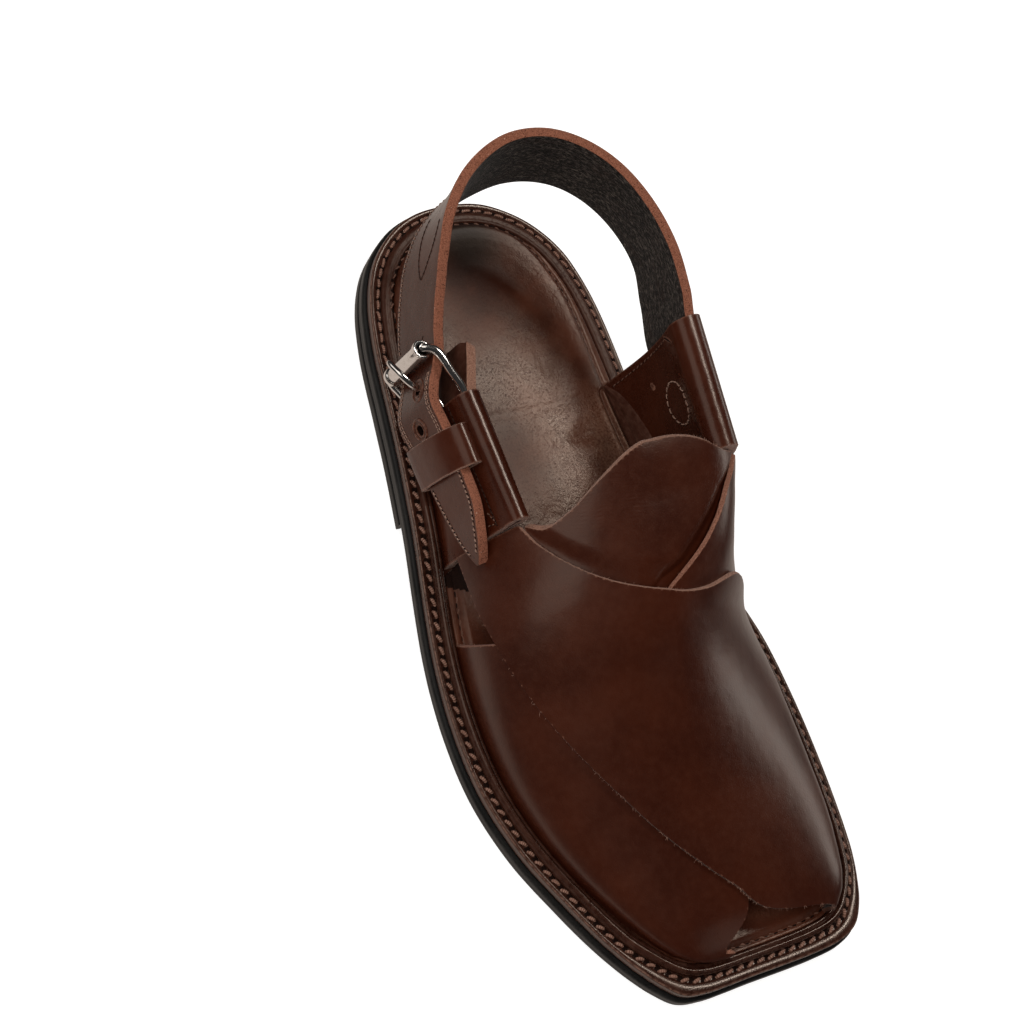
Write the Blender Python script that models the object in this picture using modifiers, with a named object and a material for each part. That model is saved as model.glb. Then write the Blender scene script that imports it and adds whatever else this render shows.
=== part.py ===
"""Peshawari chappal, right shoe: an assembly of named leather, rubber and metal pieces.

Frame: +X runs to the toe, +Y to the wearer's left (the medial side), +Z up, floor at z = 0.
Tables and sizes are millimetres; MM turns them into Blender's metres.
"""

import math

import bmesh
import bpy
import numpy as np

MM = 0.001
GAP = 0.3  # clearance between pieces that touch on the real shoe

# ---------------------------------------------------------------- driving sizes
HEEL_LIFT = 5.5
HEEL_BREAST = -38.0
OUTSOLE_THICK = 5.8
WELT_TOP = 10.0  # outsole and midsole together
TOE_SPRING = 4.2
FLAT_FROM, FLAT_TO = 20.0, 74.0  # the forefoot stretch that lies on the floor
HALF_LENGTH = 141.0
WELT_INSET = 1.3
RAND_OUTER, RAND_INNER = 4.7, 7.8
LEATHER = 2.4
UPPER_INSET = RAND_INNER + 2.0 * GAP + LEATHER
LAYER_STEP = 1.5  # how much higher a panel lies where it crosses another
LOOP_HALF = 40  # points on each side of a sole outline
STRAP_HALF, STRAP_THICK = 12.5, 3.4
FRAME_WIRE, PRONG_WIRE = 1.4, 1.15
ROLLER_RADIUS, ROLLER_BORE = 2.9, 1.9

# Plan of the outsole. Columns: station, lateral edge, medial edge.
OUTLINE = (
    (-139.6, -9.5, 15.4),
    (-135.5, -18.0, 24.4),
    (-128.0, -27.0, 33.6),
    (-115.0, -34.6, 42.0),
    (-97.0, -39.7, 46.0),
    (-78.0, -42.8, 46.8),
    (-58.0, -46.0, 46.4),
    (-36.0, -50.2, 46.8),
    (-12.0, -55.0, 49.6),
    (12.0, -59.0, 54.6),
    (34.0, -61.2, 59.6),
    (56.0, -60.6, 61.4),
    (78.0, -55.6, 61.6),
    (98.0, -47.6, 60.4),
    (114.0, -40.2, 58.2),
    (126.0, -33.2, 54.4),
    (133.0, -28.0, 50.6),
    (138.4, -23.0, 44.8),
    (140.8, -14.5, 33.0),
)
HEEL_POINT, TOE_POINT = (-141.0, 2.0), (141.0, 4.0)

# The form inside the upper.
# Columns: station, crown across, crown height, lateral fullness, medial fullness, medial outward lean
FORM = (
    (-45.0, 12.0, 71.0, 1.65, 5.2, 10.5),
    (-20.0, 10.0, 69.3, 1.65, 5.0, 10.5),
    (-6.0, 7.5, 67.2, 1.7, 3.9, 7.5),
    (6.0, 5.5, 64.2, 1.8, 2.9, 3.4),
    (16.0, 3.5, 61.0, 1.9, 2.1, 0.8),
    (27.0, 2.0, 56.5, 1.95, 1.45, 0.0),
    (50.0, 0.0, 44.5, 2.0, 1.4, 0.0),
    (80.0, 1.5, 33.0, 2.1, 1.5, 0.0),
    (105.0, 5.0, 26.6, 2.3, 1.8, 0.0),
    (117.0, 7.0, 23.0, 2.5, 2.1, 0.0),
    (125.0, 8.0, 18.6, 2.6, 2.5, 0.0),
    (131.0, 8.5, 13.9, 2.8, 2.8, 0.0),
)

# Panel edges on that form. Columns: station, way round (0 lateral welt, 0.5 crown, 1 medial welt).
PANEL_A_REAR = ((-16.0, 0.22), (-7.0, 0.255), (3.0, 0.31), (11.0, 0.37), (16.5, 0.44),
                (20.3, 0.52), (20.3, 0.61), (16.8, 0.735), (21.0, 0.87), (27.5, 1.0))
PANEL_A_FRONT = ((-16.2, 0.072), (-9.0, 0.088), (8.0, 0.13), (28.0, 0.177), (50.0, 0.243),
                 (72.0, 0.313), (93.0, 0.385), (110.0, 0.475), (121.0, 0.57), (126.5, 1.0))
PANEL_B_REAR = ((8.0, 0.0), (16.0, 0.14), (22.0, 0.25), (26.0, 0.36), (24.5, 0.44),
                (19.0, 0.51), (12.0, 0.565), (3.0, 0.61), (-6.5, 0.655), (-15.8, 0.74))
PANEL_B_FRONT = ((128.8, 0.0), (128.6, 0.25), (122.0, 0.46), (110.0, 0.515), (93.0, 0.605),
                 (72.0, 0.685), (50.0, 0.757), (28.0, 0.823), (6.0, 0.88), (-15.8, 0.985))
PANEL_C_REAR = ((-15.0, 0.23), (-11.0, 0.27), (-12.5, 0.315), (-18.0, 0.375), (-23.0, 0.44),
                (-24.8, 0.49), (-23.0, 0.525), (-20.5, 0.56), (-18.0, 0.6), (-16.4, 0.66),
                (-16.2, 0.76))
PANEL_C_FRONT = ((6.0, 0.24), (15.0, 0.28), (22.0, 0.33), (28.0, 0.39), (31.0, 0.45),
                 (31.0, 0.5), (28.0, 0.56), (22.0, 0.62), (16.0, 0.66), (10.0, 0.7),
                 (4.0, 0.78))
# Where the panels draw in over the medial waist: depth, station, way round, reach lengthwise, reach round.
WAIST_DIP, WAIST_AT, WAIST_WAY, WAIST_LONG, WAIST_ROUND = 3.6, 2.0, 0.807, 15.0, 0.093

# Middle line of the heel strap, from its tip to its sewn end.
# Columns: station, across, height, inward lean in degrees, half width
STRAP_PATH = (
    (-10.5, -42.2, 35.2, 6.0, 0.7),
    (-14.0, -42.4, 35.8, 6.0, 3.4),
    (-20.0, -42.5, 36.5, 6.0, 6.8),
    (-28.0, -42.3, 36.9, 8.0, 9.2),
    (-36.0, -42.4, 36.9, 8.5, 10.1),
    (-46.0, -42.6, 36.6, 9.0, 10.5),
    (-56.0, -42.9, 36.3, 10.0, 10.8),
    (-64.0, -42.6, 35.9, 11.0, 10.9),
    (-70.0, -40.2, 36.2, 9.0, 10.9),
    (-75.0, -37.5, 36.6, 9.0, 11.3),
    (-81.0, -35.2, 37.5, 9.0, 12.0),
    (-89.0, -33.2, 39.4, 9.0, STRAP_HALF),
    (-99.0, -30.0, 43.4, 10.0, STRAP_HALF),
    (-110.0, -25.4, 48.8, 10.0, STRAP_HALF),
    (-120.0, -18.6, 54.6, 5.0, STRAP_HALF),
    (-128.0, -8.0, 60.4, -4.0, STRAP_HALF),
    (-131.8, 5.0, 64.2, -10.0, STRAP_HALF),
    (-130.4, 17.0, 65.8, -10.0, STRAP_HALF),
    (-124.4, 28.0, 66.4, -6.0, STRAP_HALF),
    (-114.4, 36.6, 66.6, -3.0, STRAP_HALF),
    (-101.0, 42.4, 66.0, -1.0, STRAP_HALF),
    (-87.0, 45.0, 64.2, -2.0, STRAP_HALF),
    (-74.0, 44.8, 60.2, -6.0, 13.0),
    (-62.0, 43.4, 56.6, -6.0, 13.2),
    (-50.0, 43.6, 55.4, -6.0, 13.2),
)
# The strap's holes. Columns: station, distance above the middle line, radius.
PRONG_HOLE, RING_HOLE = (-69.8, 3.2, 2.6), (-58.4, -0.4, 1.7)

# Middle lines of the two tabs at their rear and front edges. Columns: across, height.
# Their foot stands just inside the rand, so the first row's height is replaced by the welt's.
LATERAL_TAB_REAR = ((-35.2, 16.1), (-35.4, 20.0), (-36.0, 29.0), (-35.4, 36.0), (-33.4, 43.5), (-31.0, 48.8))
LATERAL_TAB_FRONT = ((-42.6, 14.6), (-42.2, 19.0), (-38.8, 29.0), (-36.0, 38.5), (-33.2, 45.2), (-30.8, 50))
MEDIAL_TAB_REAR = ((34.8, 16.1), (35.0, 20.0), (39.0, 31.0), (42.0, 43.0), (43.6, 57.0), (43.5, 67.2))
MEDIAL_TAB_FRONT = ((37.8, 14.6), (38.0, 19.0), (41.6, 31.0), (43.8, 43.0), (43.0, 56.0), (41.0, 66.0))
# Half thickness of a tab at its foot, further up and at its fold, and the radius of the fold's hollow.
LATERAL_TAB_HALVES, LATERAL_TAB_HOLLOW = (1.9, 2.3, 4.1), 2.0
MEDIAL_TAB_HALVES, MEDIAL_TAB_HOLLOW = (2.0, 3.2, 5.1), 2.6
TAB_STATIONS = (-62.0, -17.0)

# The buckle's wire loop, clockwise from the roller's upper end. Columns: station, across, height.
FRAME_LOOP = (
    (-80.6, -39.0, 50.0),
    (-79.2, -36.8, 51.2),
    (-76.2, -34.9, 51.5),
    (-70.8, -33.4, 50.8),
    (-64.4, -31.2, 49.4),
    (-60.6, -31.4, 47.8),
    (-59.8, -32.6, 44.6),
    (-59.8, -34.6, 38.6),
    (-59.8, -35.7, 31.4),
    (-60.6, -36.1, 27.4),
    (-64.0, -37.0, 24.6),
    (-70.0, -38.8, 23.2),
    (-76.0, -41.0, 22.9),
    (-79.4, -42.4, 23.3),
    (-80.6, -42.6, 25.0),
)
# Columns: station, across, height.
PRONG_LINE = (
    (-62.6, -34.9, 37.5),
    (-65.2, -35.0, 37.4),
    (-67.8, -36.6, 37.9),
    (-69.4, -39.0, 38.9),
    (-70.5, -41.4, 40.4),
    (-72.5, -44.6, 42.6),
    (-75.7, -46.6, 42.9),
    (-79.0, -47.5, 41.6),
    (-82.2, -48.0, 40.2),
)

# The keeper: a closed loop round the strap whose inner run lies between strap and tab.
# Columns: across, height, of the loop's middle line.
KEEPER_LOOP = (
    (-46.9, 28.0),
    (-45.6, 36.0),
    (-44.6, 42.4),
    (-43.6, 47.0),
    (-41.4, 50.0),
    (-38.8, 51.0),
    (-36.5, 49.4),
    (-37.2, 46.0),
    (-39.6, 36.6),
    (-40.9, 27.6),
    (-41.9, 24.6),
    (-44.3, 23.6),
    (-46.7, 24.8),
)
KEEPER_STATIONS, KEEPER_HALF, KEEPER_LEAN, KEEPER_MIDDLE = (-54.2, -40.3), 0.65, 0.1, 37.0

# The chape. Columns: station, half height, distance of its lateral face from the lateral tab's own line.
CHAPE = (
    (-79.2, 4.5, 7.2),
    (-78.6, 8.6, 7.0),
    (-77.4, 11.3, 6.7),
    (-75.5, 12.3, 6.2),
    (-72.0, 12.6, 5.2),
    (-67.0, 12.0, 4.3),
    (-63.5, 6.0, 3.7),
    (-58.0, 3.6, 3.4),
    (-48.0, 3.4, 3.4),
)
CHAPE_MIDDLE, CHAPE_THICK = 37.6, 1.8

# Columns: colour, metallic, roughness
FINISHES = {
    "brown_leather": ((0.040, 0.009, 0.004, 1.0), 0.0, 0.30),
    "insole_leather": ((0.060, 0.018, 0.010, 1.0), 0.0, 0.42),
    "black_rubber": ((0.012, 0.011, 0.011, 1.0), 0.0, 0.62),
    "polished_nickel": ((0.780, 0.760, 0.740, 1.0), 1.0, 0.16),
}


# ---------------------------------------------------------------- numbers and curves
def smooth_step(value, low, high):
    share = min(max((value - low) / (high - low), 0.0), 1.0)
    return share * share * (3.0 - 2.0 * share)


def hermite_row(rows, knots, index, share):
    """A smooth curve's point between rows index and index + 1, with tangents from their neighbours."""
    last = len(rows) - 1
    step = knots[index + 1] - knots[index]

    def tangent(i):
        low, high = max(i - 1, 0), min(i + 1, last)
        return (rows[high] - rows[low]) / (knots[high] - knots[low])

    a, b = share * share * share, share * share
    return (
        rows[index] * (2 * a - 3 * b + 1)
        + tangent(index) * step * (a - 2 * b + share)
        + rows[index + 1] * (3 * b - 2 * a)
        + tangent(index + 1) * step * (a - b)
    )


def read_curve(rows, knots, value):
    value = min(max(value, knots[0]), knots[-1])
    index = min(int(np.searchsorted(knots, value, side="right")) - 1, len(knots) - 2)
    return hermite_row(rows, knots, index, (value - knots[index]) / (knots[index + 1] - knots[index]))


def along(table, count):
    """Evenly spaced points on the smooth curve through a table's rows."""
    rows = np.array(table, float)
    chords = np.linalg.norm(np.diff(rows[:, :3], axis=0), axis=1)
    knots = np.concatenate([[0.0], np.cumsum(chords)])
    fine = np.array([read_curve(rows, knots, value) for value in np.linspace(0.0, knots[-1], 8 * count)])
    walked = np.concatenate([[0.0], np.cumsum(np.linalg.norm(np.diff(fine[:, :3], axis=0), axis=1))])
    wanted = np.linspace(0.0, walked[-1], count)
    return np.stack([np.interp(wanted, walked, fine[:, column]) for column in range(fine.shape[1])], axis=1)


# ---------------------------------------------------------------- sole outlines
def outline_loop():
    """The outsole's plan: lateral side from heel to toe, then medial side back to the heel."""
    lateral = [HEEL_POINT] + [(row[0], row[1]) for row in OUTLINE] + [TOE_POINT]
    medial = [HEEL_POINT] + [(row[0], row[2]) for row in OUTLINE] + [TOE_POINT]
    ring = lateral + medial[-2:0:-1]
    wrapped = np.array([ring[i % len(ring)] for i in range(-3, len(ring) + 4)], float)
    knots = np.concatenate([[0.0], np.cumsum(np.linalg.norm(np.diff(wrapped, axis=0), axis=1))])
    toe = 3 + len(lateral) - 1
    halves = []
    for start, end in ((3, toe), (toe, 3 + len(ring))):
        values = np.linspace(knots[start], knots[end], 12 * LOOP_HALF)
        fine = np.array([read_curve(wrapped, knots, value) for value in values])
        walked = np.concatenate([[0.0], np.cumsum(np.linalg.norm(np.diff(fine, axis=0), axis=1))])
        wanted = np.linspace(0.0, walked[-1], LOOP_HALF + 1)[:-1]
        halves.append(np.stack([np.interp(wanted, walked, fine[:, c]) for c in (0, 1)], axis=1))
    return np.concatenate(halves)


def inset_loop(loop, inset):
    """The loop moved inwards, its corners eased so that they don't pinch."""
    ahead, behind = np.roll(loop, -1, axis=0), np.roll(loop, 1, axis=0)
    heading = ahead - behind
    heading /= np.linalg.norm(heading, axis=1)[:, None]
    inward = np.stack([-heading[:, 1], heading[:, 0]], axis=1)
    amount = np.broadcast_to(inset, (len(loop),))[:, None]
    moved = loop + inward * amount
    for _ in range(int(np.max(np.abs(amount)) // 3)):
        moved = 0.5 * moved + 0.25 * (np.roll(moved, -1, axis=0) + np.roll(moved, 1, axis=0))
    return moved


PLAN = outline_loop()
INNER = inset_loop(PLAN, UPPER_INSET + np.array([1.4 * (x > 112.0) for x in PLAN[:, 0]]))


def lift(x):
    """Height of the outsole's underside above the floor: heel, waist, flat ball and toe spring."""
    heel = HEEL_LIFT * (1.0 - smooth_step(x, HEEL_BREAST, FLAT_FROM))
    over = max(x - FLAT_TO, 0.0) / (HALF_LENGTH - FLAT_TO)
    return heel + TOE_SPRING * over ** 1.7


def side_of_inner(x, medial):
    """Where the upper's inner outline crosses a station on one side."""
    chain = INNER[LOOP_HALF:] if medial else INNER[: LOOP_HALF + 1]
    chain = chain[::-1] if medial else chain
    stations = np.maximum.accumulate(chain[:, 0]) + 1e-4 * np.arange(len(chain))
    return float(np.interp(x, stations, chain[:, 1]))


# ---------------------------------------------------------------- the upper's form
FORM_ROWS = np.array(FORM)[:, 1:]
FORM_KNOTS = np.array(FORM)[:, 0]
FORM_END = float(INNER[:, 0].max()) - 0.2


def form_point(x, way):
    x = min(x, FORM_END)
    across, crown, lateral_full, medial_full, lean = read_curve(FORM_ROWS, FORM_KNOTS, x)
    base = lift(x) + WELT_TOP + 2.0 * GAP + smooth_step(x, 108.0, 120.0)
    medial = way > 0.5
    edge = side_of_inner(x, medial)
    fullness = medial_full if medial else lateral_full
    angle = math.pi * min(max(way, 0.0), 1.0)
    reach = abs(math.cos(angle)) ** (2.0 / fullness)
    rise = max(math.sin(angle), 0.0) ** (2.0 / fullness)
    edge += lean * smooth_step(rise, 0.0, 0.75) if medial else 0.0
    return np.array([x, across + (edge - across) * reach, base + max(crown - base, 0.4) * rise])


def form_normal(x, way):
    """Outward unit normal of the form."""
    step_x, step_way = 1.5, 0.012
    back, fore = min(x, FORM_END - step_x) - step_x, min(x, FORM_END - step_x) + step_x
    low, high = max(way - step_way, 0.0), min(way + step_way, 1.0)
    lengthwise = form_point(fore, way) - form_point(back, way)
    crosswise = form_point(x, high) - form_point(x, low)
    normal = np.cross(crosswise, lengthwise)
    return -normal / np.linalg.norm(normal) if normal[2] < 0 else normal / np.linalg.norm(normal)


def panel_grid(rear, front, layer, cells_round, cells_along):
    """Points of a panel's underside, between its rear and front edges."""
    rear_rows, front_rows = np.array(rear), np.array(front)
    knots = np.linspace(0.0, 1.0, len(rear_rows))
    grid = []
    for i in range(cells_round + 1):
        share = i / cells_round
        start, end = read_curve(rear_rows, knots, share), read_curve(front_rows, knots, share)
        line = []
        for j in range(cells_along + 1):
            x, way = start + (end - start) * j / cells_along
            way = min(max(way, 0.0), 1.0)
            raised = LAYER_STEP * layer * smooth_step(min(way, 1.0 - way), 0.0, 0.12)
            raised *= smooth_step(x, -14.0, 10.0)
            long_share, round_share = (x - WAIST_AT) / WAIST_LONG, (way - WAIST_WAY) / WAIST_ROUND
            raised -= WAIST_DIP * math.exp(-long_share * long_share - round_share * round_share)
            line.append(form_point(x, way) + form_normal(x, way) * raised)
        grid.append(line)
    return grid


# ---------------------------------------------------------------- meshes
def new_object(name, points, faces, finish, where):
    mesh = bpy.data.meshes.new(name)
    mesh.from_pydata([tuple(float(v) * MM for v in p) for p in points], [], faces)
    body = bmesh.new()
    body.from_mesh(mesh)
    bmesh.ops.remove_doubles(body, verts=body.verts, dist=1e-6)
    bmesh.ops.recalc_face_normals(body, faces=body.faces)
    body.to_mesh(mesh)
    body.free()
    mesh.shade_smooth()
    mesh.set_sharp_from_angle(angle=math.radians(40.0))
    mesh.materials.append(finish)
    obj = bpy.data.objects.new(name, mesh)
    where.objects.link(obj)
    return obj


def ring_faces(rings, size, closed):
    faces = []
    for i in range(rings if closed else rings - 1):
        for j in range(size):
            a, b = i * size + j, i * size + (j + 1) % size
            c, d = ((i + 1) % rings) * size + j, ((i + 1) % rings) * size + (j + 1) % size
            faces.append((a, b, d, c))
    return faces


def skin_rings(name, rings, finish, where, closed=False):
    """A body lofted through rings of the same size, its ends closed by one face each."""
    size = len(rings[0])
    faces = ring_faces(len(rings), size, closed)
    if not closed:
        faces.append(tuple(range(size)))
        faces.append(tuple((len(rings) - 1) * size + j for j in range(size)))
    return new_object(name, [p for ring in rings for p in ring], faces, finish, where)


def skin_sole(name, levels, ground, finish, where):
    """A slab lofted through inset outlines; its flat ends are strips from the lateral to the medial side."""
    rings = []
    for inset, height in levels:
        loop = inset_loop(PLAN, inset)
        heights = np.broadcast_to(height, (len(loop),))
        rings.append([(x, y, ground(x) + h) for (x, y), h in zip(loop, heights)])
    size = len(rings[0])
    faces = ring_faces(len(rings), size, False)
    for first in (0, (len(rings) - 1) * size):
        for i in range(size // 2):
            corners = (i, i + 1, (size - i - 1) % size, (size - i) % size)
            faces.append(tuple(dict.fromkeys(first + c for c in corners)))
    return new_object(name, [p for ring in rings for p in ring], faces, finish, where)


def skin_sheet(name, grid, finish, where):
    """An open sheet of leather through a grid of points, thickened outwards."""
    rows, columns = len(grid), len(grid[0])
    faces = []
    for i in range(rows - 1):
        for j in range(columns - 1):
            a = i * columns + j
            faces.append((a, a + 1, a + columns + 1, a + columns))
    obj = new_object(name, [p for line in grid for p in line], faces, finish, where)
    turn_outwards(obj)
    wall = obj.modifiers.new("leather", "SOLIDIFY")
    wall.thickness = LEATHER * MM
    wall.offset = 1.0
    return obj


def turn_outwards(obj):
    """Faces of an open sheet point up and away from the foot."""
    if sum(face.normal.z * face.area for face in obj.data.polygons) < 0:
        obj.data.flip_normals()


def wire_body(name, points, radius, closed, finish, where):
    """A round wire: a poly curve with a bevel, made a mesh with its caps welded."""
    curve = bpy.data.curves.new(name, "CURVE")
    curve.dimensions = "3D"
    curve.bevel_depth = radius * MM
    curve.bevel_resolution = 2
    curve.use_fill_caps = True
    line = curve.splines.new("POLY")
    line.points.add(len(points) - 1)
    for slot, point in zip(line.points, points):
        slot.co = (point[0] * MM, point[1] * MM, point[2] * MM, 1.0)
    line.use_cyclic_u = closed
    guide = bpy.data.objects.new(name + "_line", curve)
    where.objects.link(guide)
    bpy.context.view_layer.update()
    graph = bpy.context.evaluated_depsgraph_get()
    mesh = bpy.data.meshes.new_from_object(guide.evaluated_get(graph))
    bpy.data.objects.remove(guide, do_unlink=True)
    body = bmesh.new()
    body.from_mesh(mesh)
    bmesh.ops.remove_doubles(body, verts=body.verts, dist=1e-5)
    bmesh.ops.recalc_face_normals(body, faces=body.faces)
    body.to_mesh(mesh)
    body.free()
    mesh.shade_smooth()
    mesh.materials.clear()
    mesh.materials.append(finish)
    obj = bpy.data.objects.new(name, mesh)
    where.objects.link(obj)
    return obj


def closed_line(table, count):
    """Evenly spaced points on a smooth closed curve through a table's rows."""
    return along(tuple(table) + (table[0],), count + 1)[:-1]


def hide_tool(obj):
    obj.hide_render = True
    obj.display_type = "WIRE"


def combine(obj, tool, operation):
    join = obj.modifiers.new(operation.lower() + "_" + tool.name, "BOOLEAN")
    join.operation = operation
    join.solver = "EXACT"
    join.object = tool
    hide_tool(tool)


# ---------------------------------------------------------------- the sole
def make_heel_block(finish, where, tools):
    levels = ((1.2, 0.0), (0.2, 1.0), (0.2, HEEL_LIFT - GAP))
    block = skin_sole("heel_block", levels, lambda x: 0.0, finish, where)
    bpy.ops.mesh.primitive_cube_add(size=1.0)
    cutter = bpy.context.active_object
    cutter.name = "heel_breast_cut"
    cutter.scale = (0.4, 0.3, 0.1)
    cutter.location = (HEEL_BREAST * MM + 0.2, 0.0, 0.0)
    for home in list(cutter.users_collection):
        home.objects.unlink(cutter)
    tools.objects.link(cutter)
    combine(block, cutter, "DIFFERENCE")


def make_sole(rubber, leather, padding, where, tools):
    make_heel_block(rubber, where, tools)
    top = OUTSOLE_THICK - GAP
    skin_sole("outsole", ((0.9, 0.0), (0.0, 1.2), (0.0, top - 1.3), (0.7, top)), lift, rubber, where)
    low, high = OUTSOLE_THICK, WELT_TOP
    skin_sole("midsole", ((1.8, low), (WELT_INSET, low + 0.6), (WELT_INSET, high)), lift, leather, where)
    make_rand(leather, where)
    make_insole(padding, where)


def make_rand(leather, where):
    """A leather bead between welt and upper, standing higher round the forefoot than round the heel."""
    stations = PLAN[:, 0]
    rise = np.array([1.3 + 1.9 * smooth_step(x, -66.0, -20.0) for x in stations])
    low = WELT_TOP + GAP
    middle = (RAND_OUTER + RAND_INNER) / 2
    profile = ((RAND_OUTER, low), (RAND_OUTER, low + 0.6 * rise), (middle, low + rise),
               (RAND_INNER, low + 0.8 * rise), (RAND_INNER, low))
    rings = []
    for inset, height in profile:
        loop = inset_loop(PLAN, inset)
        heights = np.broadcast_to(height, (len(loop),))
        rings.append([(x, y, lift(x) + h) for (x, y), h in zip(loop, heights)])
    skin_rings("rand", rings, leather, where, closed=True)


def make_insole(padding, where):
    """A moulded insole: a rounded rim and a shallow bed, narrower where the tabs and the upper go down."""
    stations = PLAN[:, 0]
    edge = np.array([8.4 + 5.8 * smooth_step(x, -78.0, -68.0) + smooth_step(x, 96.0, 120.0)
                     for x in stations])
    rim = np.array([4.4 - 0.8 * smooth_step(x, -70.0, -30.0) - 1.7 * smooth_step(x, 96.0, 120.0)
                    for x in stations])
    low = WELT_TOP + GAP
    levels = ((edge, low), (edge, low + 0.72 * rim), (edge + 2.2, low + rim),
              (edge + 8.0, low + 0.82 * rim), (edge + 16.0, low + 0.74 * rim))
    skin_sole("insole", levels, lift, padding, where)


# ---------------------------------------------------------------- the upper
def make_upper(leather, where, tools):
    """One hollow body of leather: panels A, B and C cross over each other, open at toe, sides, collar."""
    upper = skin_sheet("upper", panel_grid(PANEL_A_REAR, PANEL_A_FRONT, 2, 22, 13), leather, where)
    band = skin_sheet("upper_band_b", panel_grid(PANEL_B_REAR, PANEL_B_FRONT, 1, 22, 13), leather, tools)
    collar = skin_sheet("upper_band_c", panel_grid(PANEL_C_REAR, PANEL_C_FRONT, 0, 12, 6), leather, tools)
    combine(upper, band, "UNION")
    combine(upper, collar, "UNION")


def tab_rings(rear, front, halves, stations):
    """Closed sections of a folded tab: flat at its foot, round at its folded top."""
    rings = []
    for share in stations:
        centre = np.array(rear) + (np.array(front) - np.array(rear)) * share
        x = TAB_STATIONS[0] + (TAB_STATIONS[1] - TAB_STATIONS[0]) * share
        centre[0, 1] = lift(x) + WELT_TOP + GAP
        centre[:2, 0] = side_of_inner(x, centre[0, 0] > 0)
        line = along([(0.0, p[0], p[1]) for p in centre], 8)[:, 1:]
        heading = np.gradient(line, axis=0)
        heading /= np.linalg.norm(heading, axis=1)[:, None]
        heading[0] = (0.0, 1.0)
        outward = np.stack([-heading[:, 1], heading[:, 0]], axis=1)
        width = np.interp(np.linspace(0.0, 1.0, len(line)), (0.0, 0.6, 1.0), halves)[:, None]
        left, right = line + outward * width, line - outward * width
        tip, reach = line[-1], width[-1, 0]
        cap = []
        for angle in (45.0, 90.0, 135.0):
            turn = math.radians(angle)
            cap.append(tip + outward[-1] * reach * math.cos(turn) + heading[-1] * reach * math.sin(turn))
        rings.append([(x, p[0], p[1]) for p in list(left) + cap + list(right[::-1])])
    return rings


def fold_hollow(name, rear, front, radius, leather, tools):
    """A rod through the fold of a tab, past both of its edges."""
    ends = [np.array((x, *row[-1])) for x, row in zip(TAB_STATIONS, (rear, front))]
    reach = (ends[1] - ends[0]) * 0.05
    return wire_body(name, [ends[0] - reach, ends[1] + reach], radius, False, leather, tools)


def make_tabs(leather, where, tools, loop, strap_rings):
    shares = np.linspace(0.0, 1.0, 7)
    lateral = tab_rings(LATERAL_TAB_REAR, LATERAL_TAB_FRONT, LATERAL_TAB_HALVES, shares)
    medial = tab_rings(MEDIAL_TAB_REAR, MEDIAL_TAB_FRONT, MEDIAL_TAB_HALVES, shares)
    lateral_tab = skin_rings("lateral_tab", lateral, leather, where)
    medial_tab = skin_rings("medial_tab", medial, leather, where)
    rolled = (
        (lateral_tab, "lateral_fold_hollow", LATERAL_TAB_REAR, LATERAL_TAB_FRONT, LATERAL_TAB_HOLLOW),
        (medial_tab, "medial_fold_hollow", MEDIAL_TAB_REAR, MEDIAL_TAB_FRONT, MEDIAL_TAB_HOLLOW),
    )
    for tab, name, rear, front, radius in rolled:
        combine(tab, fold_hollow(name, rear, front, radius, leather, tools), "DIFFERENCE")
    channel = wire_body("buckle_channel", loop, FRAME_WIRE + GAP, True, leather, tools)
    combine(lateral_tab, channel, "DIFFERENCE")
    pocket = skin_rings("strap_pocket", strap_rings, leather, tools)
    combine(medial_tab, pocket, "DIFFERENCE")


# ---------------------------------------------------------------- strap, keeper and buckle
def strap_frame(path, index):
    """The strap's heading, its direction up its width and its outward normal at one point of its path."""
    before, after = max(index - 1, 0), min(index + 1, len(path) - 1)
    heading = path[after, :3] - path[before, :3]
    heading /= np.linalg.norm(heading)
    level = np.array([heading[0], heading[1], 0.0])
    level /= np.linalg.norm(level)
    inward = np.array([level[1], -level[0], 0.0])
    lean = math.radians(path[index, 3])
    rise = np.array([0.0, 0.0, math.cos(lean)]) + inward * math.sin(lean)
    rise -= heading * rise.dot(heading)
    rise /= np.linalg.norm(rise)
    return heading, rise, np.cross(heading, rise)


def strap_sections(path, half_thick, grow=0.0):
    """Closed sections across the strap, with its four long edges eased."""
    rings = []
    for i, row in enumerate(path):
        _, rise, normal = strap_frame(path, i)
        half_width = max(row[4], 0.5) + grow
        ease = min(0.7, 0.4 * half_width)
        thick = half_thick + grow
        corners = ((half_width - ease, thick), (half_width, thick - 0.6), (half_width, 0.6 - thick),
                   (half_width - ease, -thick), (ease - half_width, -thick), (-half_width, 0.6 - thick),
                   (-half_width, thick - 0.6), (ease - half_width, thick))
        rings.append([row[:3] + rise * a + normal * b for a, b in corners])
    return rings


def hole_cutter(name, path, hole, leather, tools):
    """A short rod through the strap at a place on its lateral side."""
    station, above, radius = hole
    lateral = path[: int(np.argmin(path[:, 0]))]
    index = int(np.argmin(abs(lateral[:, 0] - station)))
    centre = np.array([np.interp(-station, -lateral[:, 0], lateral[:, column]) for column in range(3)])
    _, rise, normal = strap_frame(path, index)
    centre += rise * above
    reach = normal * 2.0 * STRAP_THICK
    return wire_body(name, [centre - reach, centre + reach], radius, False, leather, tools)


def make_strap(leather, where, tools):
    path = along(STRAP_PATH, 64)
    strap = skin_rings("heel_strap", strap_sections(path, STRAP_THICK / 2), leather, where)
    combine(strap, hole_cutter("prong_hole_cut", path, PRONG_HOLE, leather, tools), "DIFFERENCE")
    combine(strap, hole_cutter("ring_hole_cut", path, RING_HOLE, leather, tools), "DIFFERENCE")
    return strap_sections(path[-9:], STRAP_THICK / 2, GAP)


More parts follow.
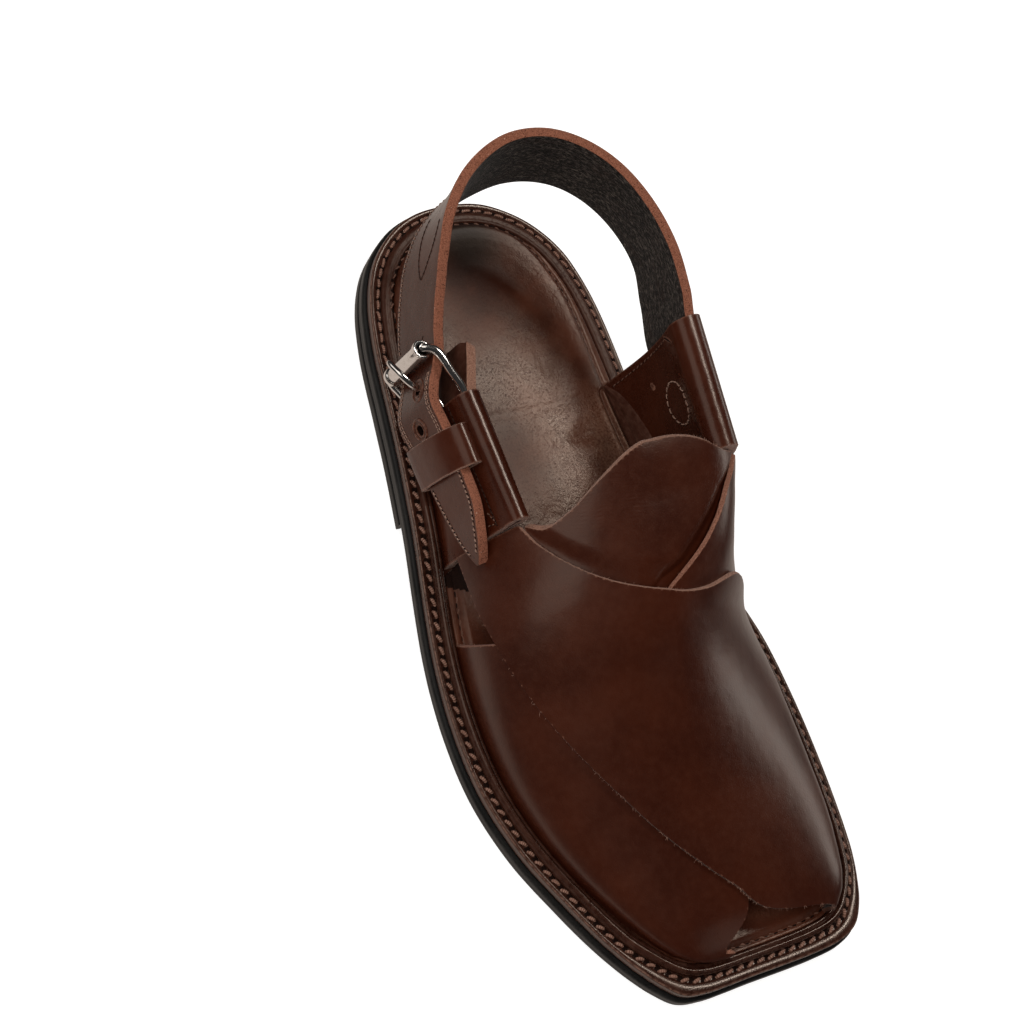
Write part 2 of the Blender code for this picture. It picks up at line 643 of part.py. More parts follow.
def make_keeper(leather, where):
    """A closed band of leather, leaning back a little towards its foot."""
    line = closed_line([(0.0, a, b) for a, b in KEEPER_LOOP], 24)[:, 1:]
    heading = np.roll(line, -1, axis=0) - np.roll(line, 1, axis=0)
    heading /= np.linalg.norm(heading, axis=1)[:, None]
    outward = np.stack([heading[:, 1], -heading[:, 0]], axis=1)
    rear, front = KEEPER_STATIONS
    rings = []
    for point, out in zip(line, outward):
        lean = KEEPER_LEAN * (point[1] - KEEPER_MIDDLE)
        a, b = point + out * KEEPER_HALF, point - out * KEEPER_HALF
        rings.append([(rear + lean, *a), (front + lean, *a), (front + lean, *b), (rear + lean, *b)])
    skin_rings("keeper", rings, leather, where, closed=True)


def make_chape(leather, where):
    """The leather tongue behind the buckle: it lies along the lateral tab and ends round, free of it."""
    line = np.array(LATERAL_TAB_REAR)
    rings = []
    for x, half, away in CHAPE:
        heights = CHAPE_MIDDLE + half * np.linspace(-1.0, 1.0, 5)
        across = np.interp(heights, line[:, 1], line[:, 0]) + away
        faces = [(x, y, z) for y, z in zip(across, heights)]
        rings.append([(x, y + CHAPE_THICK, z) for x, y, z in faces] + faces[::-1])
    skin_rings("chape", rings, leather, where)


def make_buckle(nickel, where):
    loop = closed_line(FRAME_LOOP, 40)
    wire_body("buckle_frame", loop, FRAME_WIRE, True, nickel, where)
    make_roller(nickel, where)
    wire_body("buckle_prong", along(PRONG_LINE, 14), PRONG_WIRE, False, nickel, where)
    return loop


def make_roller(nickel, where):
    """A turned tube with a ring at each end, loose on the straight side of the buckle's wire."""
    top, foot = np.array(FRAME_LOOP[0]), np.array(FRAME_LOOP[-1])
    axis = (top - foot) / np.linalg.norm(top - foot)
    side = np.cross(axis, (0.0, 1.0, 0.0))
    side /= np.linalg.norm(side)
    other = np.cross(axis, side)
    length = np.linalg.norm(top - foot)
    outer = ((0.9, ROLLER_RADIUS + 0.1), (1.2, ROLLER_RADIUS + 0.4), (2.6, ROLLER_RADIUS + 0.4),
             (3.0, ROLLER_RADIUS - 0.2))
    profile = [(at, radius) for at, radius in outer]
    profile += [(length - at, radius) for at, radius in reversed(outer)]
    profile += [(length - 0.9, ROLLER_BORE), (0.9, ROLLER_BORE)]
    rings = []
    for step in range(20):
        turn = 2.0 * math.pi * step / 20
        arm = side * math.cos(turn) + other * math.sin(turn)
        rings.append([foot + axis * at + arm * radius for at, radius in profile])
    skin_rings("buckle_roller", rings, nickel, where, closed=True)


# ---------------------------------------------------------------- assembly
def make_finish(name):
    colour, metallic, roughness = FINISHES[name]
    finish = bpy.data.materials.new(name)
    finish.use_nodes = True
    shader = finish.node_tree.nodes["Principled BSDF"]
    shader.inputs["Base Color"].default_value = colour
    shader.inputs["Metallic"].default_value = metallic
    shader.inputs["Roughness"].default_value = roughness
    return finish


def main():
    for obj in list(bpy.data.objects):
        bpy.data.objects.remove(obj, do_unlink=True)
    shoe = bpy.data.collections.new("peshawari_chappal")
    tools = bpy.data.collections.new("cutters")
    for home in (shoe, tools):
        bpy.context.scene.collection.children.link(home)
    finish = {name: make_finish(name) for name in FINISHES}
    leather = finish["brown_leather"]
    make_sole(finish["black_rubber"], leather, finish["insole_leather"], shoe, tools)
    make_upper(leather, shoe, tools)
    strap_end = make_strap(leather, shoe, tools)
    loop = make_buckle(finish["polished_nickel"], shoe)
    make_tabs(leather, shoe, tools, loop, strap_end)
    make_keeper(leather, shoe)
    make_chape(leather, shoe)


main()
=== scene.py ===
# Peshawari chappal, right shoe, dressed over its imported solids.
# +X runs to the toe, +Y to the wearer's left, +Z up. Sizes are millimetres, and mm turns them into metres.
import math

import bmesh
import bpy
import numpy as np
from mathutils import Matrix, Vector


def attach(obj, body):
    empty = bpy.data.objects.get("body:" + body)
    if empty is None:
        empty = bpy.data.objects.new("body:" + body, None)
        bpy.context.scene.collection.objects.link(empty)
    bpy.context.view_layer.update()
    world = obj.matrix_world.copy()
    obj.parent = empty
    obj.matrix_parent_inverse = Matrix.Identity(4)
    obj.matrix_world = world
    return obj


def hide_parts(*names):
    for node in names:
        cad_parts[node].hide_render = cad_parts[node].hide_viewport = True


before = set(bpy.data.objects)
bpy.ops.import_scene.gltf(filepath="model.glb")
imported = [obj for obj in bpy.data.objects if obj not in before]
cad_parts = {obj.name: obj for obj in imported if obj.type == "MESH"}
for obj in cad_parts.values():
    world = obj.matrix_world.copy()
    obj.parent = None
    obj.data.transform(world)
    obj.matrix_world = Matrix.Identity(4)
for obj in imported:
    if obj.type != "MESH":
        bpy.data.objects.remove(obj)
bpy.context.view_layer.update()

mm = 0.001
print("frame loaded:", len(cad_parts), "solids")

# the shoe's main sizes, as its solids have them
shoe = {
    "heelLift": 5.5, "heelBreast": -38, "weltTop": 10, "toeSpring": 4.2, "flatFrom": 20, "flatTo": 74,
    "halfLength": 141, "gap": 0.3, "leather": 2.4, "layerStep": 1.5, "upperInset": 10.8, "toeInset": 1.4,
    "toeInsetFrom": 112, "loopHalf": 40, "loopFiner": 12,
}

# plan of the outsole: station, lateral edge, medial edge
outline = (
    (-139.6, -9.5, 15.4), (-135.5, -18, 24.4), (-128, -27, 33.6), (-115, -34.6, 42), (-97, -39.7, 46),
    (-78, -42.8, 46.8), (-58, -46, 46.4), (-36, -50.2, 46.8), (-12, -55, 49.6), (12, -59, 54.6),
    (34, -61.2, 59.6), (56, -60.6, 61.4), (78, -55.6, 61.6), (98, -47.6, 60.4), (114, -40.2, 58.2),
    (126, -33.2, 54.4), (133, -28, 50.6), (138.4, -23, 44.8), (140.8, -14.5, 33),
)
heelPoint, toePoint = (-141, 2), (141, 4)

# the form under the upper: station, crown across, crown height, lateral and medial fullness, medial lean
form = np.array((
    (-45, 12, 71, 1.65, 5.2, 10.5), (-20, 10, 69.3, 1.65, 5, 10.5), (-6, 7.5, 67.2, 1.7, 3.9, 7.5),
    (6, 5.5, 64.2, 1.8, 2.9, 3.4), (16, 3.5, 61, 1.9, 2.1, 0.8), (27, 2, 56.5, 1.95, 1.45, 0),
    (50, 0, 44.5, 2, 1.4, 0), (80, 1.5, 33, 2.1, 1.5, 0), (105, 5, 26.6, 2.3, 1.8, 0),
    (117, 7, 23, 2.5, 2.1, 0), (125, 8, 18.6, 2.6, 2.5, 0), (131, 8.5, 13.9, 2.8, 2.8, 0),
))


# ---- curves
def smoothStep(value, low, high):
    share = np.clip((np.asarray(value, float) - low) / (high - low), 0, 1)
    return share * share * (3 - 2 * share)


def window(value, low, high, ease):
    return smoothStep(value, low - ease, low + ease) * (1 - smoothStep(value, high - ease, high + ease))


def hump(x, y, centre, reach):
    # a soft round swelling of height 1
    return np.exp(-(((x - centre[0]) / reach[0]) ** 2 + ((y - centre[1]) / reach[1]) ** 2))


def ridge(value, centre, reach):
    return np.exp(-(((value - centre) / reach) ** 2))


def unit(rows):
    return rows / np.maximum(np.linalg.norm(rows, axis=-1), 1e-9)[..., None]


def together(*columns):
    # points from their coordinates, which may be arrays or single numbers
    return np.stack(np.broadcast_arrays(*columns), axis=-1)


def spread(start, end, count):
    # the coordinates of points evenly spaced from one place to another
    return [np.linspace(a, b, count) for a, b in zip(start, end)]


def leftOf(heading):
    return together(-heading[:, 1], heading[:, 0])


def readRows(rows, knots, values):
    # the smooth curve through rows at their knots, with tangents from the neighbouring rows
    rows, knots = np.asarray(rows, float), np.asarray(knots, float)
    values = np.clip(np.asarray(values, float), knots[0], knots[-1])
    i = np.clip(np.searchsorted(knots, values, side="right") - 1, 0, len(knots) - 2)
    wide, wideKnots = (np.concatenate([a[:1], a, a[-1:]]) for a in (rows, knots))
    slopes = (wide[2:] - wide[:-2]) / (wideKnots[2:] - wideKnots[:-2])[:, None]
    step = (knots[i + 1] - knots[i])[..., None]
    share = (values - knots[i])[..., None] / step
    cube, square = share ** 3, share ** 2
    return (rows[i] * (2 * cube - 3 * square + 1) + slopes[i] * step * (cube - 2 * square + share)
            + rows[i + 1] * (3 * square - 2 * cube) + slopes[i + 1] * step * (cube - square))


def pick(values, knots, rows):
    # straight-line reading of a table's columns
    return np.stack([np.interp(values, knots, column) for column in rows.T], axis=-1)


def chordKnots(rows, columns=3):
    return np.concatenate([[0], np.cumsum(np.linalg.norm(np.diff(rows[:, :columns], axis=0), axis=1))])


def evenly(rows, count, columns=3):
    walked = chordKnots(rows, columns)
    return pick(np.linspace(0, walked[-1], count), walked, rows)


def along(table, count):
    # evenly spaced points on the smooth curve through a table's rows
    rows = np.array(table, float)
    knots = chordKnots(rows)
    return evenly(readRows(rows, knots, np.linspace(0, knots[-1], max(8 * count, 400))), count)


def closedLine(table, count):
    return along([*table, table[0]], count + 1)[:-1]


def finer(ring, factor):
    # a closed smooth curve through a ring's points, with factor points for each of them
    before, after, beyond = (np.roll(ring, by, 0) for by in (1, -1, -2))
    parts = [0.5 * (2 * ring + (after - before) * t + (2 * before - 5 * ring + 4 * after - beyond) * t * t
                    + (3 * ring - 3 * after + beyond - before) * t ** 3) for t in np.arange(factor) / factor]
    return np.stack(parts, axis=1).reshape(-1, ring.shape[1])


# ---- the sole's plan and its inset rings
def outlineLoop():
    half = shoe["loopHalf"]
    lateral, medial = ([heelPoint] + [(row[0], row[side]) for row in outline] + [toePoint] for side in (1, 2))
    ring = lateral + medial[-2:0:-1]
    wrapped = np.array([ring[i % len(ring)] for i in range(-3, len(ring) + 4)], float)
    knots, toe = chordKnots(wrapped, 2), 2 + len(lateral)
    halves = []
    for start, end in ((3, toe), (toe, 3 + len(ring))):
        fine = readRows(wrapped, knots, np.linspace(knots[start], knots[end], 12 * half))
        halves.append(evenly(fine, half + 1, 2)[:-1])
    return np.concatenate(halves)


def insetLoop(loop, inset):
    heading = unit(np.roll(loop, -1, axis=0) - np.roll(loop, 1, axis=0))
    amount = np.broadcast_to(inset, (len(loop),))[:, None]
    moved = loop + leftOf(heading) * amount
    for _ in range(int(np.max(np.abs(amount)) // 3)):
        moved = 0.5 * moved + 0.25 * (np.roll(moved, -1, axis=0) + np.roll(moved, 1, axis=0))
    return moved


plan = outlineLoop()
innerLoop = insetLoop(plan, shoe["upperInset"] + shoe["toeInset"] * (plan[:, 0] > shoe["toeInsetFrom"]))
ringTable = np.stack([finer(insetLoop(plan, float(step)), shoe["loopFiner"]) for step in range(0, 31)])
ringPlan = ringTable[0]
ringX, ringWalk, ringSize = ringPlan[:, 0], chordKnots(ringPlan, 2), len(ringPlan)
medialSide = np.arange(ringSize) > ringSize // 2


def soleRing(inset):
    # the fine outline moved inwards, by one inset or by one for each point
    inset = np.clip(np.broadcast_to(inset, (ringSize,)).astype(float), 0, 29.99)
    low, index = inset.astype(int), np.arange(ringSize)
    share = (inset - low)[:, None]
    return ringTable[low, index] * (1 - share) + ringTable[low + 1, index] * share


def lift(x):
    heel = shoe["heelLift"] * (1 - smoothStep(x, shoe["heelBreast"], shoe["flatFrom"]))
    over = np.maximum(np.asarray(x, float) - shoe["flatTo"], 0) / (shoe["halfLength"] - shoe["flatTo"])
    return heel + shoe["toeSpring"] * over ** 1.7


def raisedRing(inset, height):
    # a ring of the outline at a height over the outsole's underside
    flat = soleRing(inset)
    return np.column_stack([flat, lift(flat[:, 0]) + height])


def sideOfInner(x, medial):
    half = shoe["loopHalf"]
    chain = innerLoop[half:][::-1] if medial else innerLoop[: half + 1]
    return np.interp(x, np.maximum.accumulate(chain[:, 0]) + 1e-4 * np.arange(len(chain)), chain[:, 1])


# ---- the form inside the upper
formEnd = float(innerLoop[:, 0].max()) - 0.2


def formPoint(x, way):
    x, way = np.broadcast_arrays(np.minimum(x, formEnd), np.clip(way, 0, 1))
    across, crown, lateralFull, medialFull, lean = np.moveaxis(readRows(form[:, 1:], form[:, 0], x), -1, 0)
    base = lift(x) + shoe["weltTop"] + 2 * shoe["gap"] + smoothStep(x, 108, 120)
    medial = way > 0.5
    power = 2 / np.where(medial, medialFull, lateralFull)
    reach = np.abs(np.cos(math.pi * way)) ** power
    rise = np.maximum(np.sin(math.pi * way), 0) ** power
    edge = np.where(medial, sideOfInner(x, True) + lean * smoothStep(rise, 0, 0.75), sideOfInner(x, False))
    return together(x, across + (edge - across) * reach, base + np.maximum(crown - base, 0.4) * rise)


def formNormal(x, way):
    stepX, stepWay = 1.5, 0.012
    middle = np.minimum(x, formEnd - stepX)
    lengthwise = formPoint(middle + stepX, way) - formPoint(middle - stepX, way)
    crosswise = formPoint(x, np.minimum(way + stepWay, 1)) - formPoint(x, np.maximum(way - stepWay, 0))
    normal = unit(np.cross(crosswise, lengthwise))
    return np.where(normal[..., 2:] < 0, -normal, normal)


# ---- mesh makers
def gridFaces(rows, columns, wrapRows=False, wrapColumns=False):
    i, j = np.indices((rows - (not wrapRows), columns - (not wrapColumns)))
    nextI, nextJ = (i + 1) % rows * columns, (j + 1) % columns
    return np.stack([i * columns + j, i * columns + nextJ, nextI + nextJ, nextI + j], -1).reshape(-1, 4)


def addObject(name, data):
    made = bpy.data.objects.new(name, data)
    bpy.context.scene.collection.objects.link(made)
    return made


def makePiece(name, points, faces, finishes, parts=None, lay=None, sharp=50,
              replaces=()):
    # lay is read by the finishes: places along and across a piece, or how worn it is and where sheen and
    # shade are painted
    mesh = bpy.data.meshes.new(name)
    points = np.asarray(points, float).reshape(-1, 3) * mm
    mesh.from_pydata(points.tolist(), [], [tuple(int(v) for v in f) for f in faces])
    for finish in finishes:
        mesh.materials.append(finish)
    if parts is not None:
        mesh.polygons.foreach_set("material_index", np.asarray(parts, np.int32))
    if lay is not None:
        laid = mesh.attributes.new("lay", "FLOAT_VECTOR", "POINT")
        laid.data.foreach_set("vector", np.asarray(lay, np.float32).ravel())
    body = bmesh.new()
    body.from_mesh(mesh)
    bmesh.ops.remove_doubles(body, verts=body.verts, dist=2e-6)
    bmesh.ops.dissolve_degenerate(body, edges=body.edges, dist=1e-6)
    bmesh.ops.recalc_face_normals(body, faces=body.faces)
    body.to_mesh(mesh)
    body.free()
    mesh.shade_smooth()
    mesh.set_sharp_from_angle(angle=math.radians(sharp))
    piece = addObject(name, mesh)
    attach(piece, "root")
    if replaces:
        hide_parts(*replaces)
    return piece


def tubePoints(line, radius, sides, closed=False, up=None):
    # rings of a round tube round a line, and its faces
    line = np.asarray(line, float)
    heading = unit(np.roll(line, -1, 0) - np.roll(line, 1, 0)) if closed else unit(np.gradient(line, axis=0))
    side = np.zeros_like(line)
    carried = np.array(up or ((0, 0, 1) if abs(heading[0, 2]) < 0.9 else (1, 0, 0)))
    for i, forward in enumerate(heading):
        carried = unit(carried - forward * carried.dot(forward))
        side[i] = carried
    turn = 2 * math.pi * np.arange(sides)[:, None] / sides
    spokes = side[:, None] * np.cos(turn) + np.cross(heading, side)[:, None] * np.sin(turn)
    rings = line[:, None] + np.broadcast_to(radius, (len(line),))[:, None, None] * spokes
    faces = [*map(tuple, gridFaces(len(line), sides, closed, True))]
    if not closed:
        faces += [tuple(range(sides)), tuple(range((len(line) - 1) * sides, len(line) * sides))]
    return rings.reshape(-1, 3), faces


class Bundle:
    # gathers many small bodies into one mesh
    def __init__(self):
        self.points, self.faces, self.lays, self.count = [], [], [], 0

    def add(self, points, faces, lay=None):
        self.points.append(points)
        self.faces += [tuple(v + self.count for v in face) for face in faces]
        self.lays.append(np.zeros((len(points), 3)) if lay is None else lay)
        self.count += len(points)

    def piece(self, name, finish, slotName="brown_leather"):
        points, lays = np.concatenate(self.points), np.concatenate(self.lays)
        makePiece(name, points, self.faces, [finish], lay=lays)


def walkRow(line, pitch, closed=False):
    # places about a pitch apart along a line, and the headings there
    chain = np.concatenate([line, line[:1]]) if closed else line
    walked = chordKnots(chain)
    count = max(int(walked[-1] / pitch), 1)
    places = (np.arange(count) + 0.5) * walked[-1] / count
    ahead, behind = np.minimum(places + 0.4, walked[-1]), np.maximum(places - 0.4, 0)
    return pick(places, walked, chain), unit(pick(ahead, walked, chain) - pick(behind, walked, chain))


def addStitches(bundle, spots, heading, normals, length, thick, tilt, rise, wander, seed):
    # short threads that come up, lie on the surface and go down again
    rng = np.random.default_rng(seed)
    shares = np.linspace(-1, 1, 7)
    radius = thick / 2 * np.array([0.72, 0.92, 1, 1.06, 1, 0.92, 0.72])
    arch = rise * (1 - shares ** 4) - 0.55 * thick * shares ** 4
    for i, (spot, ahead, out) in enumerate(zip(spots, heading, normals)):
        turn = math.radians(tilt + wander * rng.uniform(-12, 12))
        run = ahead * math.cos(turn) + np.cross(out, ahead) * math.sin(turn)
        reach = shares * length * (1 + wander * rng.uniform(-0.12, 0.12)) / 2
        line = spot + run * reach[:, None] + out * arch[:, None]
        points, faces = tubePoints(line, radius, 8, up=tuple(out))
        bundle.add(points, faces, np.repeat(together(reach, i, 0), 8, axis=0))


def addHoles(bundle, spots, heading, normals, radius, stretch, depth=0.12):
    # awl holes as painted shade: near-black flat lens shapes that just show over the leather
    turn = 2 * math.pi * np.arange(10)[:, None] / 10
    near, far = range(1, 11), [*range(2, 11), 1]
    faces = [(0, b, a) for a, b in zip(near, far)] + [(a, b, b + 10, a + 10) for a, b in zip(near, far)]
    faces += [(21, a + 10, b + 10) for a, b in zip(near, far)]
    for spot, ahead, out in zip(spots, heading, normals):
        rim = (ahead * np.cos(turn) * stretch + np.cross(out, ahead) * np.sin(turn)) * radius
        middle, inner = spot + rim * 0.98 - out * 0.02, spot + rim * 0.6 + out * depth * 0.8
        bundle.add(np.vstack([spot - out * 0.3, middle, inner, spot + out * depth]), faces)


def surfaceRow(bundle, spots, normals, pitch, *stitch):
    # stitches along a line that lies on a surface; normals go with its points
    places, heading = walkRow(spots, pitch)
    walked = chordKnots(spots)
    out = unit(pick(np.linspace(0, walked[-1], 2 * len(places) + 1)[1::2], walked, normals))
    addStitches(bundle, places, heading, out, *stitch)
    return places, heading, out


def raggedness(count, seed):
    fine = np.random.default_rng(seed).normal(0, 1, count + 60)
    coarse = 0.8 * np.convolve(fine[::-1], np.hanning(19) / 4, "same")
    return (np.convolve(fine, np.hanning(5) / 2.2, "same") + coarse)[30:30 + count]


# ---- finishes
class Strand:
    # one socket of a finish, so that masks and colours are written as sums
    def __init__(self, finish, socket):
        self.finish, self.socket = finish, socket
        self.wide = socket.type in ("RGBA", "VECTOR")

    def join(self, operation, first, second):
        wide = any(isinstance(v, tuple) or getattr(v, "wide", False) for v in (first, second))
        if wide:
            first, second = ((v,) * 3 if isinstance(v, (int, float)) else v for v in (first, second))
        kind = "VectorMath" if wide else "Math"
        return self.finish.node(kind, {"operation": operation}, {0: first, 1: second})

    def __add__(self, other): return self.join("ADD", self, other)
    def __sub__(self, other): return self.join("SUBTRACT", self, other)
    def __rsub__(self, other): return self.join("SUBTRACT", other, self)
    def __mul__(self, other): return self.join("MULTIPLY", self, other)
    __radd__, __rmul__ = __add__, __mul__

    def least(self, other): return self.join("MINIMUM", self, other)

    def eased(self, low, high):
        return self.finish.node("MapRange", {"interpolation_type": "SMOOTHSTEP"},
                                {"Value": self, "From Min": low, "From Max": high})


def socketOf(group, key):
    # a node's socket in use, by number or name
    usable = [socket for socket in group if socket.enabled]
    return usable[key] if isinstance(key, int) else next(s for s in usable if s.name == key)


class Finish:
    # a procedural material; place is the point on the object in millimetres
    def __init__(self, name, **constants):
        self.material = bpy.data.materials.new(name)
        self.material.use_nodes = True
        self.tree = self.material.node_tree
        self.wear(**constants)
        self.place = self.node("TexCoord", None, None, "Object") * (1 / mm)

    def plug(self, socket, value):
        if isinstance(value, Strand):
            self.tree.links.new(value.socket, socket)
        else:
            socket.default_value = (*value, 1) if socket.type == "RGBA" and len(value) == 3 else value

    def node(self, kind, settings=None, sockets=None, output=0):
        made = self.tree.nodes.new("ShaderNode" + kind)
        for key, value in (settings or {}).items():
            setattr(made, key, value)
        for key, value in (sockets or {}).items():
            self.plug(socketOf(made.inputs, key), value)
        return Strand(self, socketOf(made.outputs, output))

    def noise(self, size, detail=2, rough=0.5, at=None, warp=0):
        return self.node("TexNoise", {"noise_dimensions": "3D"}, {
            "Vector": at or self.place, "Scale": 1 / size, "Detail": detail, "Roughness": rough,
            "Distortion": warp}, "Fac")

    def cells(self, size, at=None):
        return self.node("TexVoronoi", {"feature": "F1"}, {"Vector": at or self.place, "Scale": 1 / size},
                         "Distance")

    def waves(self, at, direction, scale, warp, detail, **more):
        return self.node("TexWave", {"wave_type": "BANDS", "bands_direction": direction,
                                     "wave_profile": "SIN"},
                         {"Vector": at, "Scale": scale, "Distortion": warp, "Detail": detail, **more}, "Fac")

    def blend(self, factor, first, second):
        return self.node("Mix", {"data_type": "RGBA"}, {"Factor": factor, "A": first, "B": second}, "Result")

    def lay(self, axis=None):
        vector = self.node("Attribute", {"attribute_name": "lay"}, None, "Vector")
        return self.node("SeparateXYZ", None, {"Vector": vector}, axis) if axis else vector

    def bump(self, height, depth, under=None):
        sockets = {"Height": height, "Distance": depth * mm, "Strength": 1}
        if under:
            sockets["Normal"] = under
        return self.node("Bump", None, sockets, "Normal")

    def wear(self, **sockets):
        for key, value in sockets.items():
            self.plug(self.tree.nodes["Principled BSDF"].inputs[key.replace("_", " ")], value)
        return self.material


def polishedLeather(name, look):
    # smooth, waxed grain leather: soft colour clouds, fine pores, thin scuffs and paler cut edges
    finish = Finish(name, Coat_Weight=look["coat"], Coat_Roughness=look["coatRough"],
                    Specular_IOR_Level=look["shine"], Specular_Tint=look["glow"])
    clouds, mottle = finish.noise(26, 3, 0.55), finish.noise(2.4, 4, 0.6)
    colour = finish.blend(clouds.eased(0.3, 0.72), look["deep"], look["warm"])
    colour = finish.blend(mottle.eased(0.35, 0.75) * look["mottle"], colour, look["pale"])
    edge = 1 - finish.lay("Z").eased(0, look["edgeReach"])
    edgeBreak = finish.noise(1.1, 3, 0.7).eased(0.34, 0.62)
    colour = finish.blend(edge * edgeBreak * look["edgeWear"], colour, look["edge"])
    scratches = finish.noise(1.6, 5, 0.7, finish.place * (0.22, 2.6, 1), 0.4).eased(0.66, 0.8)
    dust = finish.cells(1.5).eased(0.07, 0.03) * finish.noise(7, 1).eased(0.52, 0.62)
    colour = finish.blend(scratches * look["scuff"] + dust * 0.14, colour, look["dust"])
    rough = look["rough"] + (clouds - 0.5) * 0.1 + (mottle - 0.5) * 0.1 + scratches * 0.12 + edge * 0.1
    normal = finish.bump(finish.cells(0.75).eased(0, 0.5) * 0.5 + finish.noise(0.9, 3, 0.6) * 0.5,
                         look["grain"])
    normal = finish.bump(finish.noise(9, 2, 0.5), look["ripple"], normal)
    for centre, reach, across, pitch, deep in look.get("creases", ()):
        # fine folds in a patch: bands across a direction, bent a little
        away = finish.node("VectorMath", {"operation": "DISTANCE"}, {0: finish.place, 1: centre}, "Value")
        steps = finish.node("VectorMath", {"operation": "DOT_PRODUCT"}, {0: finish.place, 1: across}, "Value")
        bent = steps * (2 * math.pi / pitch) + (finish.noise(5, 2) - 0.5) * 9
        bands = finish.node("Math", {"operation": "SINE"}, {0: bent})
        bands = bands * finish.noise(3.2, 2, 0.5).eased(0.4, 0.62)
        normal = finish.bump(bands * (1 - away.eased(reach * 0.35, reach)), deep, normal)
    return finish.wear(Base_Color=colour, Roughness=rough, Normal=normal)


def rawLeather(name, deep, pale, dark, nick, fibreSize, fleckSize, fleckWeight, nicks, shine, sheen, depth):
    # a cut or split leather face: fibres, dark flecks and pale nicks
    finish = Finish(name, Specular_IOR_Level=shine, Sheen_Weight=sheen, Sheen_Roughness=0.5)
    fibre, flecks = finish.noise(fibreSize, 5, 0.7), finish.cells(fleckSize).eased(0.34, 0.14)
    colour = finish.blend(fibre.eased(0.3, 0.7), deep, pale)
    colour = finish.blend(flecks * finish.noise(1.3).eased(0.42, 0.6) * fleckWeight, colour, dark)
    colour = finish.blend(finish.cells(2.1).eased(0.12, 0.05) * finish.noise(5).eased(0.5, 0.58) * nicks,
                          colour, nick)
    return finish.wear(Base_Color=colour, Roughness=0.78 + (fibre - 0.5) * 0.25,
                       Normal=finish.bump(fibre + flecks * -0.6, depth))


def suedeLining(name, look):
    # the strap's grey split side, with its nap combed along the strap
    finish = Finish(name, Specular_IOR_Level=0.2, Sheen_Weight=0.08, Sheen_Roughness=0.45)
    nap = finish.noise(0.8, 6, 0.78, finish.lay() * (0.5, 1, 1), 0.3)
    broad = finish.noise(5.5, 3, 0.6, finish.lay() * (0.35, 1, 1))
    pits = finish.cells(0.75, finish.lay() * (0.7, 1, 1)).eased(0.36, 0.12)
    colour = finish.blend(nap.eased(0.46, 0.66), look["deep"], look["pale"])
    colour = finish.blend(broad.eased(0.52, 0.7) * 0.55, colour, look["brown"])
    colour = finish.blend(pits * 0.7, colour, look["dark"])
    return finish.wear(Base_Color=colour, Roughness=0.8 + (nap - 0.5) * 0.2,
                       Normal=finish.bump(nap - pits * 0.5, look["depth"]))


def insoleLeather(name, look):
    # the foot bed: dyed leather rubbed paler and shinier where the foot lies; the same lay paints sheen paler
    # and shade darker
    finish = Finish(name, Coat_Weight=look["coat"], Coat_Roughness=0.34, Specular_IOR_Level=look["shine"],
                    Specular_Tint=look["glow"])
    wearAndPaintedLight, clouds, speck = finish.lay("X"), finish.noise(17, 4, 0.6), finish.noise(0.8, 5, 0.75)
    rubbedAndSheen = (wearAndPaintedLight * (0.45 + 0.8 * clouds) * speck.eased(0.3, 0.72)).least(1) * look["wearAndSheenWeight"]
    colour = finish.blend(rubbedAndSheen, finish.blend(clouds.eased(0.32, 0.7), look["deep"], look["warm"]),
                          look["pale"])
    colour = finish.blend(finish.noise(4.2, 4, 0.65).eased(0.56, 0.72) * 0.35, colour, look["deep"])
    # painted shade: below zero the lay darkens the bed towards the shade colour
    colour = finish.blend((wearAndPaintedLight * -1).eased(0, 0.8), colour, look["shadeColour"])
    rough = look["rough"] + (speck - 0.5) * 0.2 + (clouds - 0.5) * 0.14 - wearAndPaintedLight * 0.06
    rough = rough + finish.lay("Y") * look["dulled"]
    normal = finish.bump(speck * 0.6 + finish.cells(0.9).eased(0, 0.45) * 0.4, look["grain"])
    return finish.wear(Base_Color=colour, Roughness=rough,
                       Normal=finish.bump(finish.noise(6, 3, 0.55), look["ripple"], normal))


def twistedThread(name, deep, pale, tint, plies):
    # waxed thread: two plies wound round each other, with a painted highlight pale on their crests
    finish = Finish(name, Specular_IOR_Level=0.4)
    ply = finish.waves(finish.lay(), "DIAGONAL", plies, 0.6, 1)
    each = finish.noise(0.9, 2, 0.5, finish.lay() * (0.1, 1, 1)).eased(0.3, 0.7)
    fuzz = finish.noise(0.35, 4, 0.7)
    return finish.wear(Base_Color=finish.blend(each * 0.6, finish.blend(ply, deep, pale), tint),
                       Roughness=0.5 + fuzz * 0.2, Normal=finish.bump(ply + fuzz * 0.4, 0.12))


def soleRubber(name, look):
    # moulded black rubber with a greyer band high on its side, scuffed and a painted highlight, and ribs
    # underneath
    finish = Finish(name, Specular_IOR_Level=0.3)
    grit, clouds, band = finish.noise(0.6, 5, 0.7), finish.noise(14, 3, 0.55), finish.lay("X")
    rubbedAndSheen = (band * clouds.eased(0.25, 0.7) * grit.eased(0.3, 0.6) + grit.eased(0.55, 0.9) * 0.3).least(1)
    scuffs = finish.noise(1.4, 5, 0.75, finish.place * (0.4, 0.4, 2.4)).eased(0.68, 0.82)
    colour = finish.blend(scuffs * 0.3, finish.blend(rubbedAndSheen, look["deep"], look["grey"]), look["dust"])
    ribs = finish.waves(finish.place, "X", 0.055, 1.2, 0, **{"Detail Scale": 0.2})
    normal = finish.bump(grit, 0.05, finish.bump(ribs.eased(0.35, 0.65) * finish.lay("Y"), 0.9))
    return finish.wear(Base_Color=colour, Roughness=look["rough"] + (grit - 0.5) * 0.2 - band * 0.1,
                       Normal=normal)


